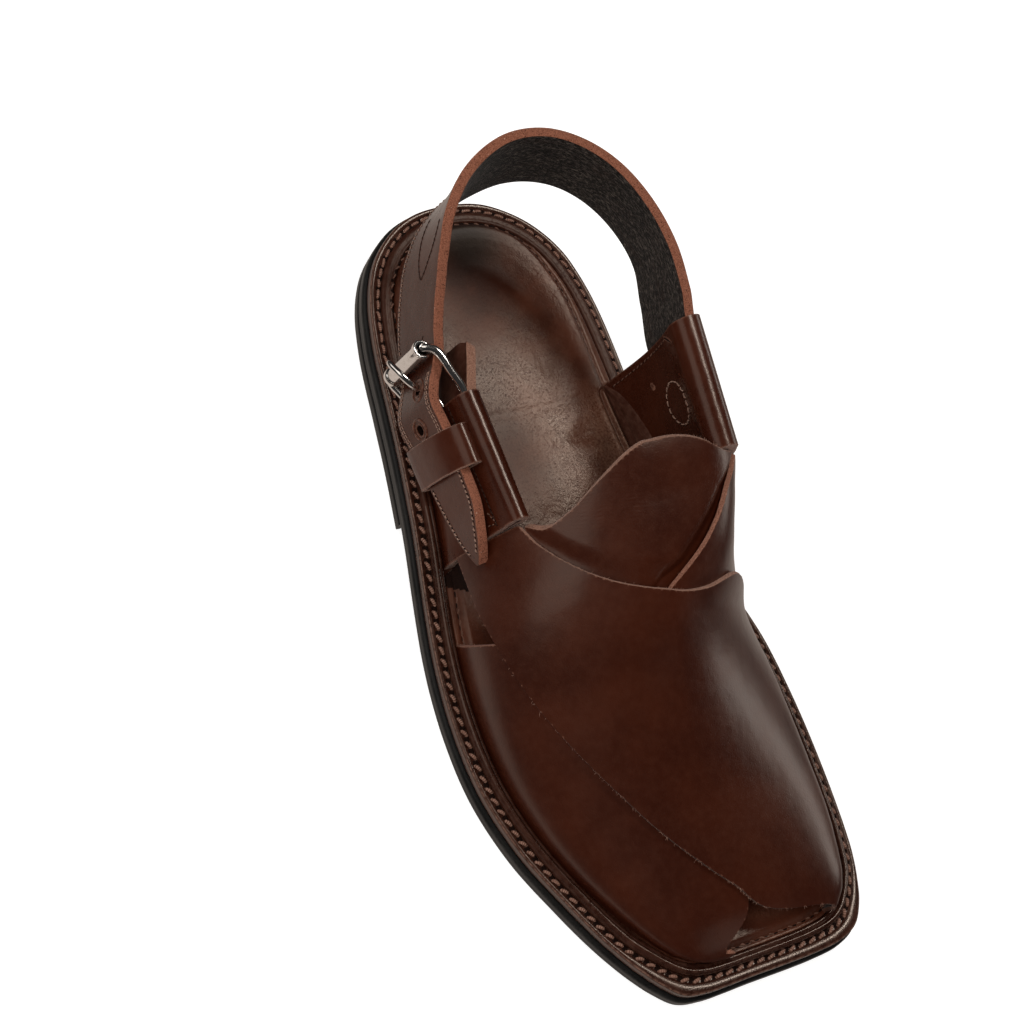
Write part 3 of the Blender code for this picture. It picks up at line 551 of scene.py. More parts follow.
def polishedNickel(name, look):
    # bright plated wire with faint draw lines and a few duller spots
    finish = Finish(name, Metallic=1)
    spots, lines = finish.noise(1.7, 4, 0.65), finish.noise(0.3, 3, 0.6, finish.lay() * (0.05, 3, 1))
    return finish.wear(Base_Color=finish.blend(spots.eased(0.45, 0.75) * 0.5, look["bright"], look["dull"]),
                       Roughness=look["rough"] + spots.eased(0.5, 0.8) * 0.05 + (lines - 0.5) * 0.05,
                       Normal=finish.bump(lines, 0.003))


upperLook = {
    "deep": (0.031, 0.0056, 0.0022), "warm": (0.048, 0.0096, 0.0036), "pale": (0.074, 0.022, 0.0115),
    "mottle": 0.2,
    "edge": (0.23, 0.105, 0.07), "edgeReach": 0.7, "edgeWear": 0.75, "scuff": 0.1, "dust": (0.28, 0.2, 0.16),
    "rough": 0.33, "coat": 0.12, "coatRough": 0.2, "shine": 0.45, "glow": (1, 0.84, 0.72), "grain": 0.035,
    "ripple": 0.2,
}
# the pale edge colour here is worn and a painted highlight: it lines the welt's outer corner and the rand's
# crest
weltLook = {
    **upperLook, "deep": (0.019, 0.0046, 0.0024), "warm": (0.036, 0.0105, 0.0058), "pale": (0.1, 0.045, 0.03),
    "mottle": 0.35, "rough": 0.28, "shine": 0.6, "edgeWear": 0.95, "edge": (0.28, 0.15, 0.11),
    "edgeReach": 0.3, "grain": 0.05,
}
leather = polishedLeather("leatherUpper", upperLook)
strapLeather = polishedLeather("leatherStrap", {
    **upperLook, "rough": 0.28, "shine": 0.34, "coat": 0.14, "coatRough": 0.16, "edgeWear": 0.5,
    "ripple": 0.3})
collarLeather = polishedLeather("leatherCollar", {**upperLook, "creases": (
    ((-12, -8, 66), 17, (-0.93, 0.2, 0.3), 1.3, 0.016), ((-9, 28, 69), 8, (0.6, 0.8, 0.1), 1.2, 0.016))})
footLeather = polishedLeather("leatherFoot", {
    **upperLook, "deep": (0.042, 0.0125, 0.0075), "warm": (0.07, 0.024, 0.015), "pale": (0.15, 0.075, 0.052),
    "mottle": 0.35, "rough": 0.36, "grain": 0.06})
weltLeather = polishedLeather("leatherWelt", weltLook)
randLeather = polishedLeather("leatherRand", {
    **weltLook, "pale": (0.085, 0.036, 0.024), "mottle": 0.4, "rough": 0.4, "shine": 0.26, "coat": 0.02,
    "edgeWear": 0.7,
    "edge": (0.2, 0.1, 0.07), "grain": 0.12})

# colours deep, pale, dark and nick; fibre and fleck size, fleck weight, nicks, shine, sheen, relief depth
rawLooks = (
    ("leatherFlesh", (0.03, 0.012, 0.008), (0.075, 0.035, 0.024), (0.012, 0.005, 0.004), (0.12, 0.07, 0.05),
     0.6, 0.7, 0.5, 0.2, 0.2, 0.15, 0.08),
    ("leatherCutEdge", (0.15, 0.062, 0.04), (0.34, 0.19, 0.135), (0.06, 0.02, 0.012), (0.6, 0.47, 0.38),
     0.45, 0.55, 0.6, 0.8, 0.2, 0.1, 0.12),
    ("leatherFibres", (0.24, 0.12, 0.085), (0.42, 0.26, 0.2), (0.12, 0.05, 0.035), (0.6, 0.45, 0.38),
     0.4, 0.5, 0.2, 0.2, 0.2, 0.1, 0.05),
    ("leatherBandEdge", (0.14, 0.05, 0.031), (0.33, 0.16, 0.11), (0.05, 0.014, 0.009), (0.55, 0.4, 0.32),
     0.5, 0.55, 0.8, 0.6, 0.2, 0.05, 0.1),
    ("leatherDarkEdge", (0.035, 0.011, 0.006), (0.11, 0.05, 0.034), (0.014, 0.004, 0.003), (0.4, 0.25, 0.19),
     0.7, 0.55, 0.6, 0.5, 0.25, 0.05, 0.08),
    ("leatherStrapEdge", (0.13, 0.04, 0.022), (0.34, 0.135, 0.082), (0.035, 0.01, 0.006), (0.62, 0.44, 0.35),
     0.42, 0.8, 1, 0.75, 0.22, 0.05, 0.07),
    # painted shade: near black for awl holes, pressed lines, punched hole walls and the unlit bed
    ("shadeBlack", (0.006, 0.0025, 0.002), (0.014, 0.006, 0.004), (0.003, 0.001, 0.001), (0.03, 0.015, 0.01),
     0.5, 0.5, 0.4, 0.2, 0.1, 0, 0.05),
)
fleshSide, cutEdge, fibres, bandEdge, darkEdge, strapEdge, shadeBlack = (rawLeather(*look) for look in rawLooks)

# deep, pale and tint colours, the pale one a painted highlight on the ply crests, and how tightly the plies
# are wound
threadLooks = (
    ("threadPale", (0.2, 0.1, 0.07), (0.5, 0.34, 0.27), (0.34, 0.2, 0.15), 2.2),
    ("threadWelt", (0.11, 0.045, 0.028), (0.36, 0.21, 0.16), (0.22, 0.11, 0.078), 1.1),
    ("threadSeam", (0.075, 0.03, 0.02), (0.27, 0.15, 0.11), (0.13, 0.06, 0.04), 2.2),
    ("threadDark", (0.018, 0.006, 0.004), (0.07, 0.03, 0.02), (0.035, 0.014, 0.009), 2.2),
)
ringThread, weltThread, seamThread, darkThread = (twistedThread(*look) for look in threadLooks)

lining = suedeLining("suedeLining", {
    "deep": (0.0065, 0.0048, 0.004), "pale": (0.125, 0.1, 0.086), "brown": (0.018, 0.008, 0.0055),
    "dark": (0.002, 0.0014, 0.0012), "depth": 0.24})
insoleSkin = insoleLeather("leatherInsole", {
    "deep": (0.04, 0.0095, 0.0044), "warm": (0.085, 0.024, 0.012), "pale": (0.25, 0.14, 0.095),
    "wearAndSheenWeight": 0.5,
    # shadeColour is the painted shade's colour
    "shadeColour": (0.006, 0.002, 0.0013), "rough": 0.33, "dulled": 0.34, "coat": 0.12, "shine": 0.58,
    "glow": (1, 0.82, 0.68), "grain": 0.15, "ripple": 0.55})
rubber = soleRubber("rubberSole", {
    "deep": (0.0045, 0.0042, 0.0042), "grey": (0.024, 0.022, 0.0205), "dust": (0.16, 0.135, 0.12),
    "rough": 0.5})
nickel = polishedNickel("nickelPlate", {"bright": (0.8, 0.765, 0.74), "dull": (0.6, 0.56, 0.535),
                                        "rough": 0.18})
print("finishes made:", len(bpy.data.materials))


# ---- outsole and heel block
sole = {
    # inset, height over the underside, greyness of the side band, which is scuffed and a painted highlight
    "outsole": ((9, 0.02, 0), (1.6, 0, 0), (0.7, 0.12, 0), (0.15, 0.6, 0.1), (0, 1.3, 0.2), (0.06, 2.2, 0.5),
                (0.02, 3, 0.8), (0, 3.7, 1), (0.12, 4.3, 1), (0.42, 4.85, 0.7), (0.85, 5.2, 0.3),
                (1.5, 5.45, 0), (3, 5.5, 0), (12, 5.5, 0)),
    "heel": ((9, 0.02, 0), (1.9, 0, 0), (0.8, 0.2, 0), (0.3, 0.8, 0.1), (0.2, 1.6, 0.3), (0.25, 2.6, 0.5),
             (0.2, 3.6, 0.4), (0.25, 4.6, 0.1), (0.7, 5.1, 0), (1.4, 5.2, 0), (12, 5.2, 0)),
}


def slab(name, levels, ground, node, cutAt=None):
    # a lofted sole slab; its underside and top close with strips from side to side
    closed, index = cutAt is None, np.arange(ringSize)
    if not closed:
        index = np.where(ringX <= cutAt)[0]
        index = np.roll(index, -1 - np.where(np.diff(index) > 1)[0][0])
    size, points, lays = len(index), [], []
    for inset, height, band in levels:
        ring = soleRing(inset)[index]
        if not closed:
            ring[:, 0] = np.minimum(ring[:, 0], cutAt)
            ring[0, 0] = ring[-1, 0] = cutAt
        points.append(np.column_stack([ring, ground(ring[:, 0]) + height]))
        lays.append(np.tile((band, height < 0.05, 0), (size, 1)))
    faces = [*map(tuple, gridFaces(len(levels), size, False, closed))]
    for first in (0, (len(levels) - 1) * size):
        for i in range(size // 2 - (not closed)):
            back = size - i - (not closed)
            corners = tuple(dict.fromkeys(first + c for c in (i, i + 1, back - 1, back % size)))
            if len(corners) > 2:
                faces.append(corners)
    if not closed:
        column = [k * size for k in range(len(levels))]
        faces.append(tuple(column + [c + size - 1 for c in reversed(column)]))
    makePiece(name, points, faces, [rubber], lay=lays, replaces=[node])


slab("outsole_rubber", sole["outsole"], lift, "outsole")
slab("heel_rubber", sole["heel"], lambda x: 0 * x, "heel_block", shoe["heelBreast"])
print("outsole and heel made")


# ---- welt: its side, its margin with a stitch channel, and the thread in it
welt = {
    # inset, height over the outsole's underside
    "profile": ((10, 5.85), (2.2, 5.85), (1.6, 5.95), (1.34, 6.3), (1.3, 7), (1.3, 8.6), (1.32, 9.2),
                (1.45, 9.62), (1.75, 9.88), (2.15, 9.95), (2.5, 9.9), (2.78, 9.72), (3, 9.5), (3.3, 9.4),
                (3.9, 9.38), (4.5, 9.4), (4.85, 9.5), (5.1, 9.7), (5.6, 9.9), (8, 10), (14, 10)),
    "toeShift": 1.45,
    # the stitch row's inset and height, its awl holes' radius and distance to each side, and its heel part
    "row": (3.85, 9.45), "pitch": 4, "hole": 0.8, "holeAside": 0.55, "heelFrom": -60,
    # length, thickness, tilt, rise, wander and seed of the stitches, at the front and at the heel
    "front": (2.8, 1.25, 24, 0.5, 0.7, 4), "heel": (3.3, 1, 6, 0.42, 0.8, 3),
}
weltShift = welt["toeShift"] * smoothStep(ringX, 116, 134)


def weltRing(inset, height):
    # insets past the margin move in where the welt is wider, at the toe
    past = smoothStep(inset, 1.6, 2.6) * (1 - 0.75 * float(smoothStep(inset, 8.6, 14)))
    return raisedRing(inset + weltShift * past, height)


def makeWelt():
    # the lay's third number is the distance to the polished outer edge, whose pale line is worn and a painted
    # highlight
    lays = [together(ringWalk, inset, abs(inset - 1.55) + max(9.55 - height, 0) * (inset < 2))
            for inset, height in welt["profile"]]
    rings = [weltRing(*row) for row in welt["profile"]]
    makePiece("welt_body", rings, gridFaces(len(rings), ringSize, True, True), [weltLeather], lay=lays,
              replaces=["midsole"], sharp=60)
    threads, holes = Bundle(), Bundle()
    spots, heading = walkRow(weltRing(*welt["row"]), welt["pitch"], True)
    atHeel, up = spots[:, 0] < welt["heelFrom"], np.tile((0, 0, 1), (len(spots), 1))
    for chosen, look in ((~atHeel, welt["front"]), (atHeel, welt["heel"])):
        addStitches(threads, spots[chosen], heading[chosen], up[chosen], *look)
    ends, across = spots + heading * welt["pitch"] / 2, np.cross(up, heading) * welt["holeAside"]
    addHoles(holes, ends + across, heading, up, welt["hole"], 1.5)
    addHoles(holes, ends - across, heading, up, welt["hole"] * 0.8, 1.3)
    threads.piece("welt_thread", weltThread)
    holes.piece("welt_awl_holes", shadeBlack)


makeWelt()
print("welt and its stitches made")


# ---- rand: the bead between welt and upper; flat round the heel, ridged round the forefoot
rand = {
    "front": ((4.75, 9.7), (4.7, 10.9), (4.95, 11.9), (5.5, 12.7), (6.1, 13), (6.6, 12.75), (6.9, 12.1),
              (7.05, 11.75), (7.3, 11.95), (7.7, 12.15), (8.1, 11.9), (8.3, 11.3), (8.4, 10.6), (8.45, 9.7)),
    "heel": ((4.75, 9.7), (4.75, 10.3), (4.95, 10.75), (5.4, 11.1), (5.9, 11.25), (6.4, 11.2), (6.8, 11.15),
             (7.1, 11.15), (7.4, 11.2), (7.8, 11.25), (8.1, 11.2), (8.3, 11), (8.5, 10.6), (8.6, 9.7)),
    "frontFrom": (-66, -20), "dullTo": -40,
}


def makeRand():
    share = smoothStep(ringX, *rand["frontFrom"])
    noise = np.random.default_rng(11).normal(0, 1, ringSize * 3)
    wave = np.convolve(noise, np.hanning(25) / 12, "same")[ringSize: 2 * ringSize]
    rings, lays = [], []
    for heel, front in zip(rand["heel"], rand["front"]):
        inset, height = (h + (f - h) * share for h, f in zip(heel, front))
        rings.append(raisedRing(inset + weltShift, height + 0.05 * wave * (front[1] > 11)))
        # the lay's third number is the distance to the bead's crest, which takes the pale edge colour, worn
        # and a painted highlight
        lays.append(together(ringWalk, inset, 0.25 + abs(front[1] - 13) * 0.8))
    makePiece("rand_bead", rings, gridFaces(len(rings), ringSize, True, True), [weltLeather, randLeather],
              parts=np.tile(ringX < rand["dullTo"], len(rings)), lay=lays, replaces=["rand"], sharp=70)


makeRand()


# ---- insole: a padded, moulded foot bed with a sewn cover
insole = {
    # inset of the inner stitch row: station, lateral, medial
    "row": ((-141, 8.8, 8.8), (-131, 8.6, 9), (-122, 7.9, 10), (-112, 7.9, 11), (-104, 9, 11),
            (-92, 9.6, 11.4), (-76, 10.4, 12.1), (-60, 11.2, 12.2), (-16, 11.4, 11.8), (10, 11, 11.4),
            (60, 11, 11), (118, 11.4, 11.4), (141, 11.6, 11.6)),
    "fill": 0.55, "bedHeight": 12.7, "edge": 11.6, "band": 11.1, "deepest": 20,
    # height of the puffed edge, and where it drops: depth, from, to
    "rim": 14.4, "rimDrops": ((0.7, -70, -30), (0.7, 96, 120)), "rimDip": (0.9, -70, -12, 8),
    # stitch: length, thickness, tilt, rise, wander, seed; sewn: stations between which the stitches show
    "pitch": 3.7, "threadHeight": 11.15, "stitch": (1.7, 0.62, -20, 0.3, 1, 9),
    # two awl holes for each stitch: step along and aside, radius, stretch
    "holes": ((0, 0, 0.62, 1.7), (0.9, 0.9, 0.4, 1.3)), "jitter": 0.25,
    "sewn": ((-142, -62), (-9, 14), (118, 142)),
    # soft swells and dents: height, centre, reach; first the arch, ball, heel seat and lateral window,
    # then small ones by the tab
    "swells": ((0.7, (-26, 30), (34, 17)), (0.7, (-32, 14), (19, 18)), (-0.8, (-104, 2), (20, 16)),
               (-3.2, (-12, -33.5), (11, 6)), (-0.75, (-47, 20), (2.8, 4.8)), (-0.4, (-51, 23.5), (3, 5)),
               (0.5, (-41, 23), (3.6, 3.6)), (0.25, (-48, 11.5), (3.6, 4)), (0.2, (-53.5, 19), (3, 6)),
               (-0.2, (-58, 27), (2.6, 5))),
    # wrinkles, each turned a little further: centre, length, depth
    "wrinkles": ((-30, 20, 9, 0.22), (-26, 12, 12, 0.16), (-52, 2, 14, 0.12), (-70, 16, 12, 0.14),
                 (-84, 20, 12, 0.12), (-20, 3, 10, 0.18)),
    # where the foot has rubbed it, and a painted sheen at the toe opening: weight, centre, reach
    "rubbedAndSheen": ((0.5, (-84, 4), (28, 16)), (0.95, (-34, 8), (22, 20)), (0.5, (-60, 10), (22, 20)),
               (1.5, (126, 20), (6, 10))),
    # painted sheen: paler patches along the bed's medial side
    "paintedSheen": ((0.55, (-64, 38), (16, 7)), (2.2, (-42, 27), (18, 8))),
    # painted shade at the heel's lateral corner and in the lateral window, and a darker patch in the heel cup
    "paintedShadePatches": ((0.85, (-122, 6), (16, 14)), (0.5, (-97, -2), (9, 9)), (1.6, (-17, -41.5), (6, 5))),
    # where it has lost its polish
    "dull": ((1, (-114, 2), (26, 18)), (0.9, (-46, -6), (16, 10)), (1, (-13, -41.5), (12, 6))),
}


def humps(key, x, y):
    return [weight * hump(x, y, centre, reach) for weight, centre, reach in insole[key]]


def insoleHeight(x, y, inside, rim):
    # inside is the way in from the stitch row, rim the puffed edge's height there
    bed = insole["bedHeight"] + 0.6 * smoothStep(x, -60, 10)
    cup = rim + (bed - rim) * smoothStep(inside, 3, 15 + 11 * smoothStep(x, -84, -62))
    edge = insole["edge"] + (cup - insole["edge"]) * smoothStep(inside, -0.3, 2.6)
    band = insole["band"] + 0.5 * smoothStep(inside, -3.5, -0.6)
    height = np.where(inside < -0.3, band, edge) - 0.5 * ridge(inside, 0, 0.55)
    height += sum(humps("swells", x, y)) - hump(x, y, (-40, 32), (20, 9)) * smoothStep(inside, 1, 6)
    # the cover's cross fold
    fold = -63.5 + 2 * np.sin(y / 14) - 0.05 * y
    height += 0.12 * ridge(x, fold, 1.8) * window(y, -22, 30, 5)
    height -= 0.14 * ridge(x, fold + 2.6, 2) * window(y, -20, 28, 6)
    for k, (cx, cy, length, deep) in enumerate(insole["wrinkles"]):
        cos, sin = math.cos(0.5 + 0.4 * k), math.sin(0.5 + 0.4 * k)
        swing, run = (x - cx) * cos + (y - cy) * sin, (y - cy) * cos - (x - cx) * sin
        height -= deep * ridge(swing, 0, 1.5) * ridge(run, 0, length)
    return height


def insoleLay(x, y, inside):
    # the lay's first number: wear and painted sheen make the bed paler, painted shade below zero darker
    wearAndPaintedLight = sum(humps("rubbedAndSheen", x, y)) * smoothStep(inside, 3, 11) + 0.35 * ridge(inside, -1.6, 1.2)
    wearAndPaintedLight = np.max([np.clip(wearAndPaintedLight, 0, 1), *humps("paintedSheen", x, y)], axis=0) - sum(humps("paintedShadePatches", x, y))
    return np.column_stack([wearAndPaintedLight, np.clip(sum(humps("dull", x, y)), 0, 1), inside])


def tabRidge(x, y, reach):
    # the cover's turned edge beside the medial tab: a ridge and the crease within it; their heights also
    # paint a highlight on the crest and shade in the crease
    shape = 0.9 * ridge(reach, 0.9, 0.7) - 0.8 * ridge(reach, 2.3, 0.5) + 0.35 * ridge(reach, 3.5, 0.8)
    return shape * window(x, -62, -20, 3) * (y > 0)


def makeInsole():
    rows, deepest = np.array(insole["row"]), insole["deepest"]
    rowInset = np.where(medialSide, np.interp(ringX, rows[:, 0], rows[:, 2]),
                        np.interp(ringX, rows[:, 0], rows[:, 1]))
    rim = np.full(ringSize, insole["rim"])
    for drop, low, high in insole["rimDrops"]:
        rim -= drop * smoothStep(ringX, low, high)
    rim -= insole["rimDip"][0] * window(ringX, *insole["rimDip"][1:])
    start = np.where(ringX > 100, 9.9, 8.7) + 4.3 * window(ringX, -62, -18, 2)
    rings, lays = [], []

    def addRing(flat, inside, ridged, height=None):
        x, y = flat.T
        height = insoleHeight(x, y, inside, rim) + ridged if height is None else height
        rings.append(np.column_stack([flat, lift(x) + height]))
        # the ridge's height goes into the lay: a painted highlight on its crest and painted shade in its
        # crease
        lays.append(insoleLay(x, y, inside) + np.outer(ridged, (0.9, 0, 0)))

    for share in (-1, 0, 0.02, *np.linspace(0.05, 1, 30)):
        inset = start + (deepest - start) * max(share, 0)
        flat = soleRing(inset)
        addRing(flat, inset - rowInset, tabRidge(*flat.T, inset - start), {-1: 10.2, 0: 10.6}.get(share))
    spineX = np.clip(flat[:, 0], -104, 106)
    table = np.array(outline)
    spine = np.column_stack([spineX, np.interp(spineX, table[:, 0], (table[:, 1] + table[:, 2]) / 2)])
    width, last = np.linalg.norm(spine - flat, axis=1), flat
    for share in np.linspace(0, 1, 28)[1:]:
        addRing(last + (spine - last) * share, deepest - rowInset + width * share, 0 * width)
    faces = [*map(tuple, gridFaces(len(rings), ringSize, False, True))]
    for i in range(ringSize // 2):
        faces.append(tuple(dict.fromkeys((i, i + 1, (ringSize - i - 1) % ringSize,
                                          (ringSize - i) % ringSize))))
    points = np.concatenate(rings)
    # painted shade: the bed behind the waist's lateral window takes the near-black shade finish
    middle = np.array([points[list(f)].mean(axis=0) for f in faces])
    x, y = middle[:, 0], middle[:, 1]
    paintedShadeFaces = (x > -25) & (x < -7.5 + 0.6 * (y + 40)) & (y < -35)
    bed = makePiece("insole_bed", points, faces, [insoleSkin, shadeBlack],
                    lay=np.concatenate(lays), parts=paintedShadeFaces, replaces=["insole"], sharp=75)
    insole["fill"]
    threads, holes = Bundle(), Bundle()
    spots, heading = walkRow(raisedRing(rowInset, insole["threadHeight"]), insole["pitch"], True)
    shown = np.any([(spots[:, 0] > low) & (spots[:, 0] < high) for low, high in insole["sewn"]], axis=0)
    spots, heading = spots[shown], heading[shown]
    up = np.tile((0, 0, 1), (len(spots), 1))
    across = np.cross(up, heading)
    jitter = np.random.default_rng(8).uniform(-insole["jitter"], insole["jitter"], (len(spots), 1))
    for step, aside, radius, stretch in insole["holes"]:
        addHoles(holes, spots + across * (jitter + aside) + heading * step, heading, up, radius, stretch)
    middle = spots + heading * insole["pitch"] / 2 + across * 0.25
    addStitches(threads, middle, heading, up, *insole["stitch"])
    threads.piece("insole_thread", seamThread, "insole_leather")
    holes.piece("insole_awl_holes", shadeBlack, "insole_leather")


makeInsole()
print("rand and insole made")


# ---- the upper's three crossing panels, each a sheet with a cut edge
panels = {
    # edges in (station, way round): 0 lateral welt, 0.5 crown, 1 medial welt
    # fuzz is how many loose fibres stand on each edge
    "A": {"rear": ((-16, 0.22), (-7, 0.255), (3, 0.31), (11, 0.37), (16.5, 0.44), (20.3, 0.52), (20.3, 0.61),
                   (16.8, 0.735), (21, 0.87), (27.5, 1)),
          "front": ((-17, 0.072), (-9, 0.088), (8, 0.13), (28, 0.177), (50, 0.243), (72, 0.313), (93, 0.385),
                    (110, 0.475), (121, 0.57), (126.5, 1)),
          "layer": 2, "thick": 1.5, "skive": (0.5, 0.15), "fuzz": (300, 240), "cells": (170, 130),
          "finishes": [leather, fleshSide, cutEdge, darkEdge]},
    "B": {"rear": ((8, 0), (16, 0.14), (22, 0.25), (26, 0.36), (24.5, 0.44), (19, 0.51), (12, 0.565),
                   (3, 0.61), (-6.5, 0.655), (-15.8, 0.74)),
          "front": ((128.8, 0), (128.6, 0.25), (122, 0.46), (110, 0.515), (93, 0.605), (72, 0.685),
                    (50, 0.757), (28, 0.823), (6, 0.88), (-15.8, 0.985)),
          "layer": 1, "thick": 1.5, "skive": (0.6, 0.2), "fuzz": (120, 200), "cells": (150, 130),
          "finishes": [leather, fleshSide, bandEdge]},
    "C": {"rear": ((-15, 0.23), (-11, 0.27), (-12.5, 0.315), (-18, 0.375), (-23, 0.44), (-24.8, 0.49),
                   (-23, 0.525), (-20.5, 0.56), (-18, 0.6), (-16.4, 0.66), (-16.2, 0.76)),
          "front": ((6, 0.24), (15, 0.28), (22, 0.33), (28, 0.39), (31, 0.45), (31, 0.5), (28, 0.56),
                    (22, 0.62), (16, 0.66), (10, 0.7), (4, 0.78)),
          "layer": 0, "thick": 1.9, "skive": (1.2, 0), "fuzz": (560, 0), "cells": (190, 110),
          "finishes": [collarLeather, fleshSide, cutEdge]},
}


def gridNormals(grid, like):
    normal = unit(np.cross(np.gradient(grid, axis=0), np.gradient(grid, axis=1)))
    return np.where((normal * like).sum(-1)[..., None] < 0, -normal, normal)


def leatherSheet(name, top, normals, thick, finishes, replaces=(), ragged=0.05, seed=5, skive=(0, 0)):
    # a closed sheet under a grid of outer points: grain face, flesh face and a cut rim
    # the rim slopes out by skive at the first and last column, and the last takes the fourth finish, if any
    rows, columns = top.shape[:2]
    border = [(i, 0) for i in range(rows)] + [(rows - 1, j) for j in range(1, columns)]
    border += [(i, columns - 1) for i in range(rows - 2, -1, -1)]
    border += [(0, j) for j in range(columns - 2, 0, -1)]
    bi, bj = np.array(border).T
    edge, out = top[bi, bj], normals[bi, bj]
    away = unit(edge - top[np.clip(bi, 1, rows - 2), np.clip(bj, 1, columns - 2)])
    away = unit(away - out * (away * out).sum(-1)[:, None])
    rough = raggedness(len(border), seed)[:, None] * ragged
    slope = (skive[0] * (bj == 0) + skive[1] * (bj == columns - 1))[:, None]
    # down the rim: share of the thickness, bulge, roughness
    steps = (0.07, 0.05, 0.3), (0.28, 0.1, 0.8), (0.55, 0.1, 1.1), (0.82, 0.07, 0.9)
    rims = [edge - out * thick * down + away * (bulge + slope * down + rough * share)
            for down, bulge, share in steps]
    top, under = top.copy(), top - normals * thick
    top[bi, bj] += away * rough * 0.25
    under[bi, bj] += away * slope
    distances = np.min([np.linalg.norm(top - point, axis=-1) for point in top[bi, bj][::4]], axis=0)
    lay = together(top[..., 0], top[..., 1], distances).reshape(-1, 3)
    faces, cells, loop, count = gridFaces(rows, columns), rows * columns, bi * columns + bj, len(border)
    chain = [loop] + [2 * cells + k * count + np.arange(count) for k in range(len(rims))] + [loop + cells]
    sides = [together(a, np.roll(a, -1), np.roll(b, -1), b) for a, b in zip(chain[:-1], chain[1:])]
    rimPart = np.where((bj == columns - 1) & (len(finishes) > 3), 3, 2)
    parts = np.concatenate([np.repeat((0, 1), len(faces))] + [rimPart] * len(sides))
    makePiece(name, np.concatenate([top.reshape(-1, 3), under.reshape(-1, 3), *rims]),
              np.concatenate([faces, faces[:, ::-1] + cells, *sides]), finishes, parts=parts,
              lay=np.concatenate([lay, lay] + [rim * (1, 1, 0) for rim in rims]), replaces=replaces, sharp=35)


def panelPoints(key):
    panel = panels[key]
    rows, columns = panel["cells"]
    start, end = (readRows(panel[side], np.linspace(0, 1, len(panel[side])), np.linspace(0, 1, rows))
                  for side in ("rear", "front"))
    x, way = np.moveaxis(start[:, None] + (end - start)[:, None] * np.linspace(0, 1, columns)[:, None], -1, 0)
    way, out = np.clip(way, 0, 1), formNormal(x, way)
    raised = shoe["layerStep"] * panel["layer"] * smoothStep(np.minimum(way, 1 - way), 0, 0.12)
    raised = raised * smoothStep(x, -14, 10) + shoe["leather"] + moulding(key, x, way)
    return formPoint(x, way) + out * raised[..., None], out


def moulding(key, x, way):
    # small swells and creases, listed one by one: the way round is scaled to about a millimetre
    y = (way - 0.5) * 150
    if key == "A":
        return 0.12 * hump(x, y, (60, 0), (24, 20)) + 0.1 * hump(x, y, (108, 2), (10, 10))
    waist = -3.6 * hump(x, y, (2, 46), (15, 14))
    if key == "B":
        return waist + 0.12 * hump(x, y, (70, -52), (26, 14)) - 0.12 * hump(x, y, (112, -34), (14, 14))
    # the collar flap dips where the two others cross it
    band, cross = np.array(panels["B"]["rear"])[4:][::-1], np.array(panels["A"]["rear"])[:6]
    bandWay, crossX = np.interp(x, band[:, 0], band[:, 1]), np.interp(way, cross[:, 1], cross[:, 0])
    dip = 1.9 * smoothStep(way, bandWay - 0.06, bandWay - 0.008) + 1.5 * smoothStep(x, crossX - 9, crossX - 1)
    flare = 2 * smoothStep(-x, 6, 26) * window(way, 0.38, 0.62, 0.06)
    return waist + flare - np.minimum(dip, 2.2) - 0.25 * hump(x, y, (-6, 24), (4, 3))


def addFuzz(bundle, top, normals, key):
    # loose fibres that stand out of the cut edges, which have frayed more towards the toe
    rng = np.random.default_rng(ord(key) + 7)
    sides = zip((0, -1), (1, -2), panels[key]["fuzz"], (0.75, 0.9), (1, 0.45))
    for column, inner, count, longest, power in sides:
        edge, out = top[:, column], normals[:, column]
        away = unit(edge - top[:, inner])
        for place in rng.uniform(0.03, 0.97, count) ** power * (len(edge) - 1):
            i = int(place)
            spot = edge[i] + (edge[i + 1] - edge[i]) * (place - i) - out[i] * rng.uniform(0.1, 1.1)
            turn = away[i] + rng.normal(0, 0.5, 3)
            bend = turn + rng.normal(0, 0.6, 3)
            reach = longest * rng.uniform(0.25, 1) ** 1.5
            line = np.array([spot, spot + turn * reach * 0.5, spot + turn * reach * 0.6 + bend * reach * 0.4])
            bundle.add(*tubePoints(line, (0.06, 0.05, 0.02), 4))


def makePanels():
    fuzz = Bundle()
    for key, panel in panels.items():
        top, out = panelPoints(key)
        normals = gridNormals(top, out)
        leatherSheet("upper_panel_" + key, top, normals, panel["thick"], panel["finishes"],
                     ["upper"] if key == "A" else (), 0.09, ord(key), panel["skive"])
        addFuzz(fuzz, top, normals, key)
    fuzz.piece("upper_edge_fibres", fibres)


makePanels()
print("upper panels made")


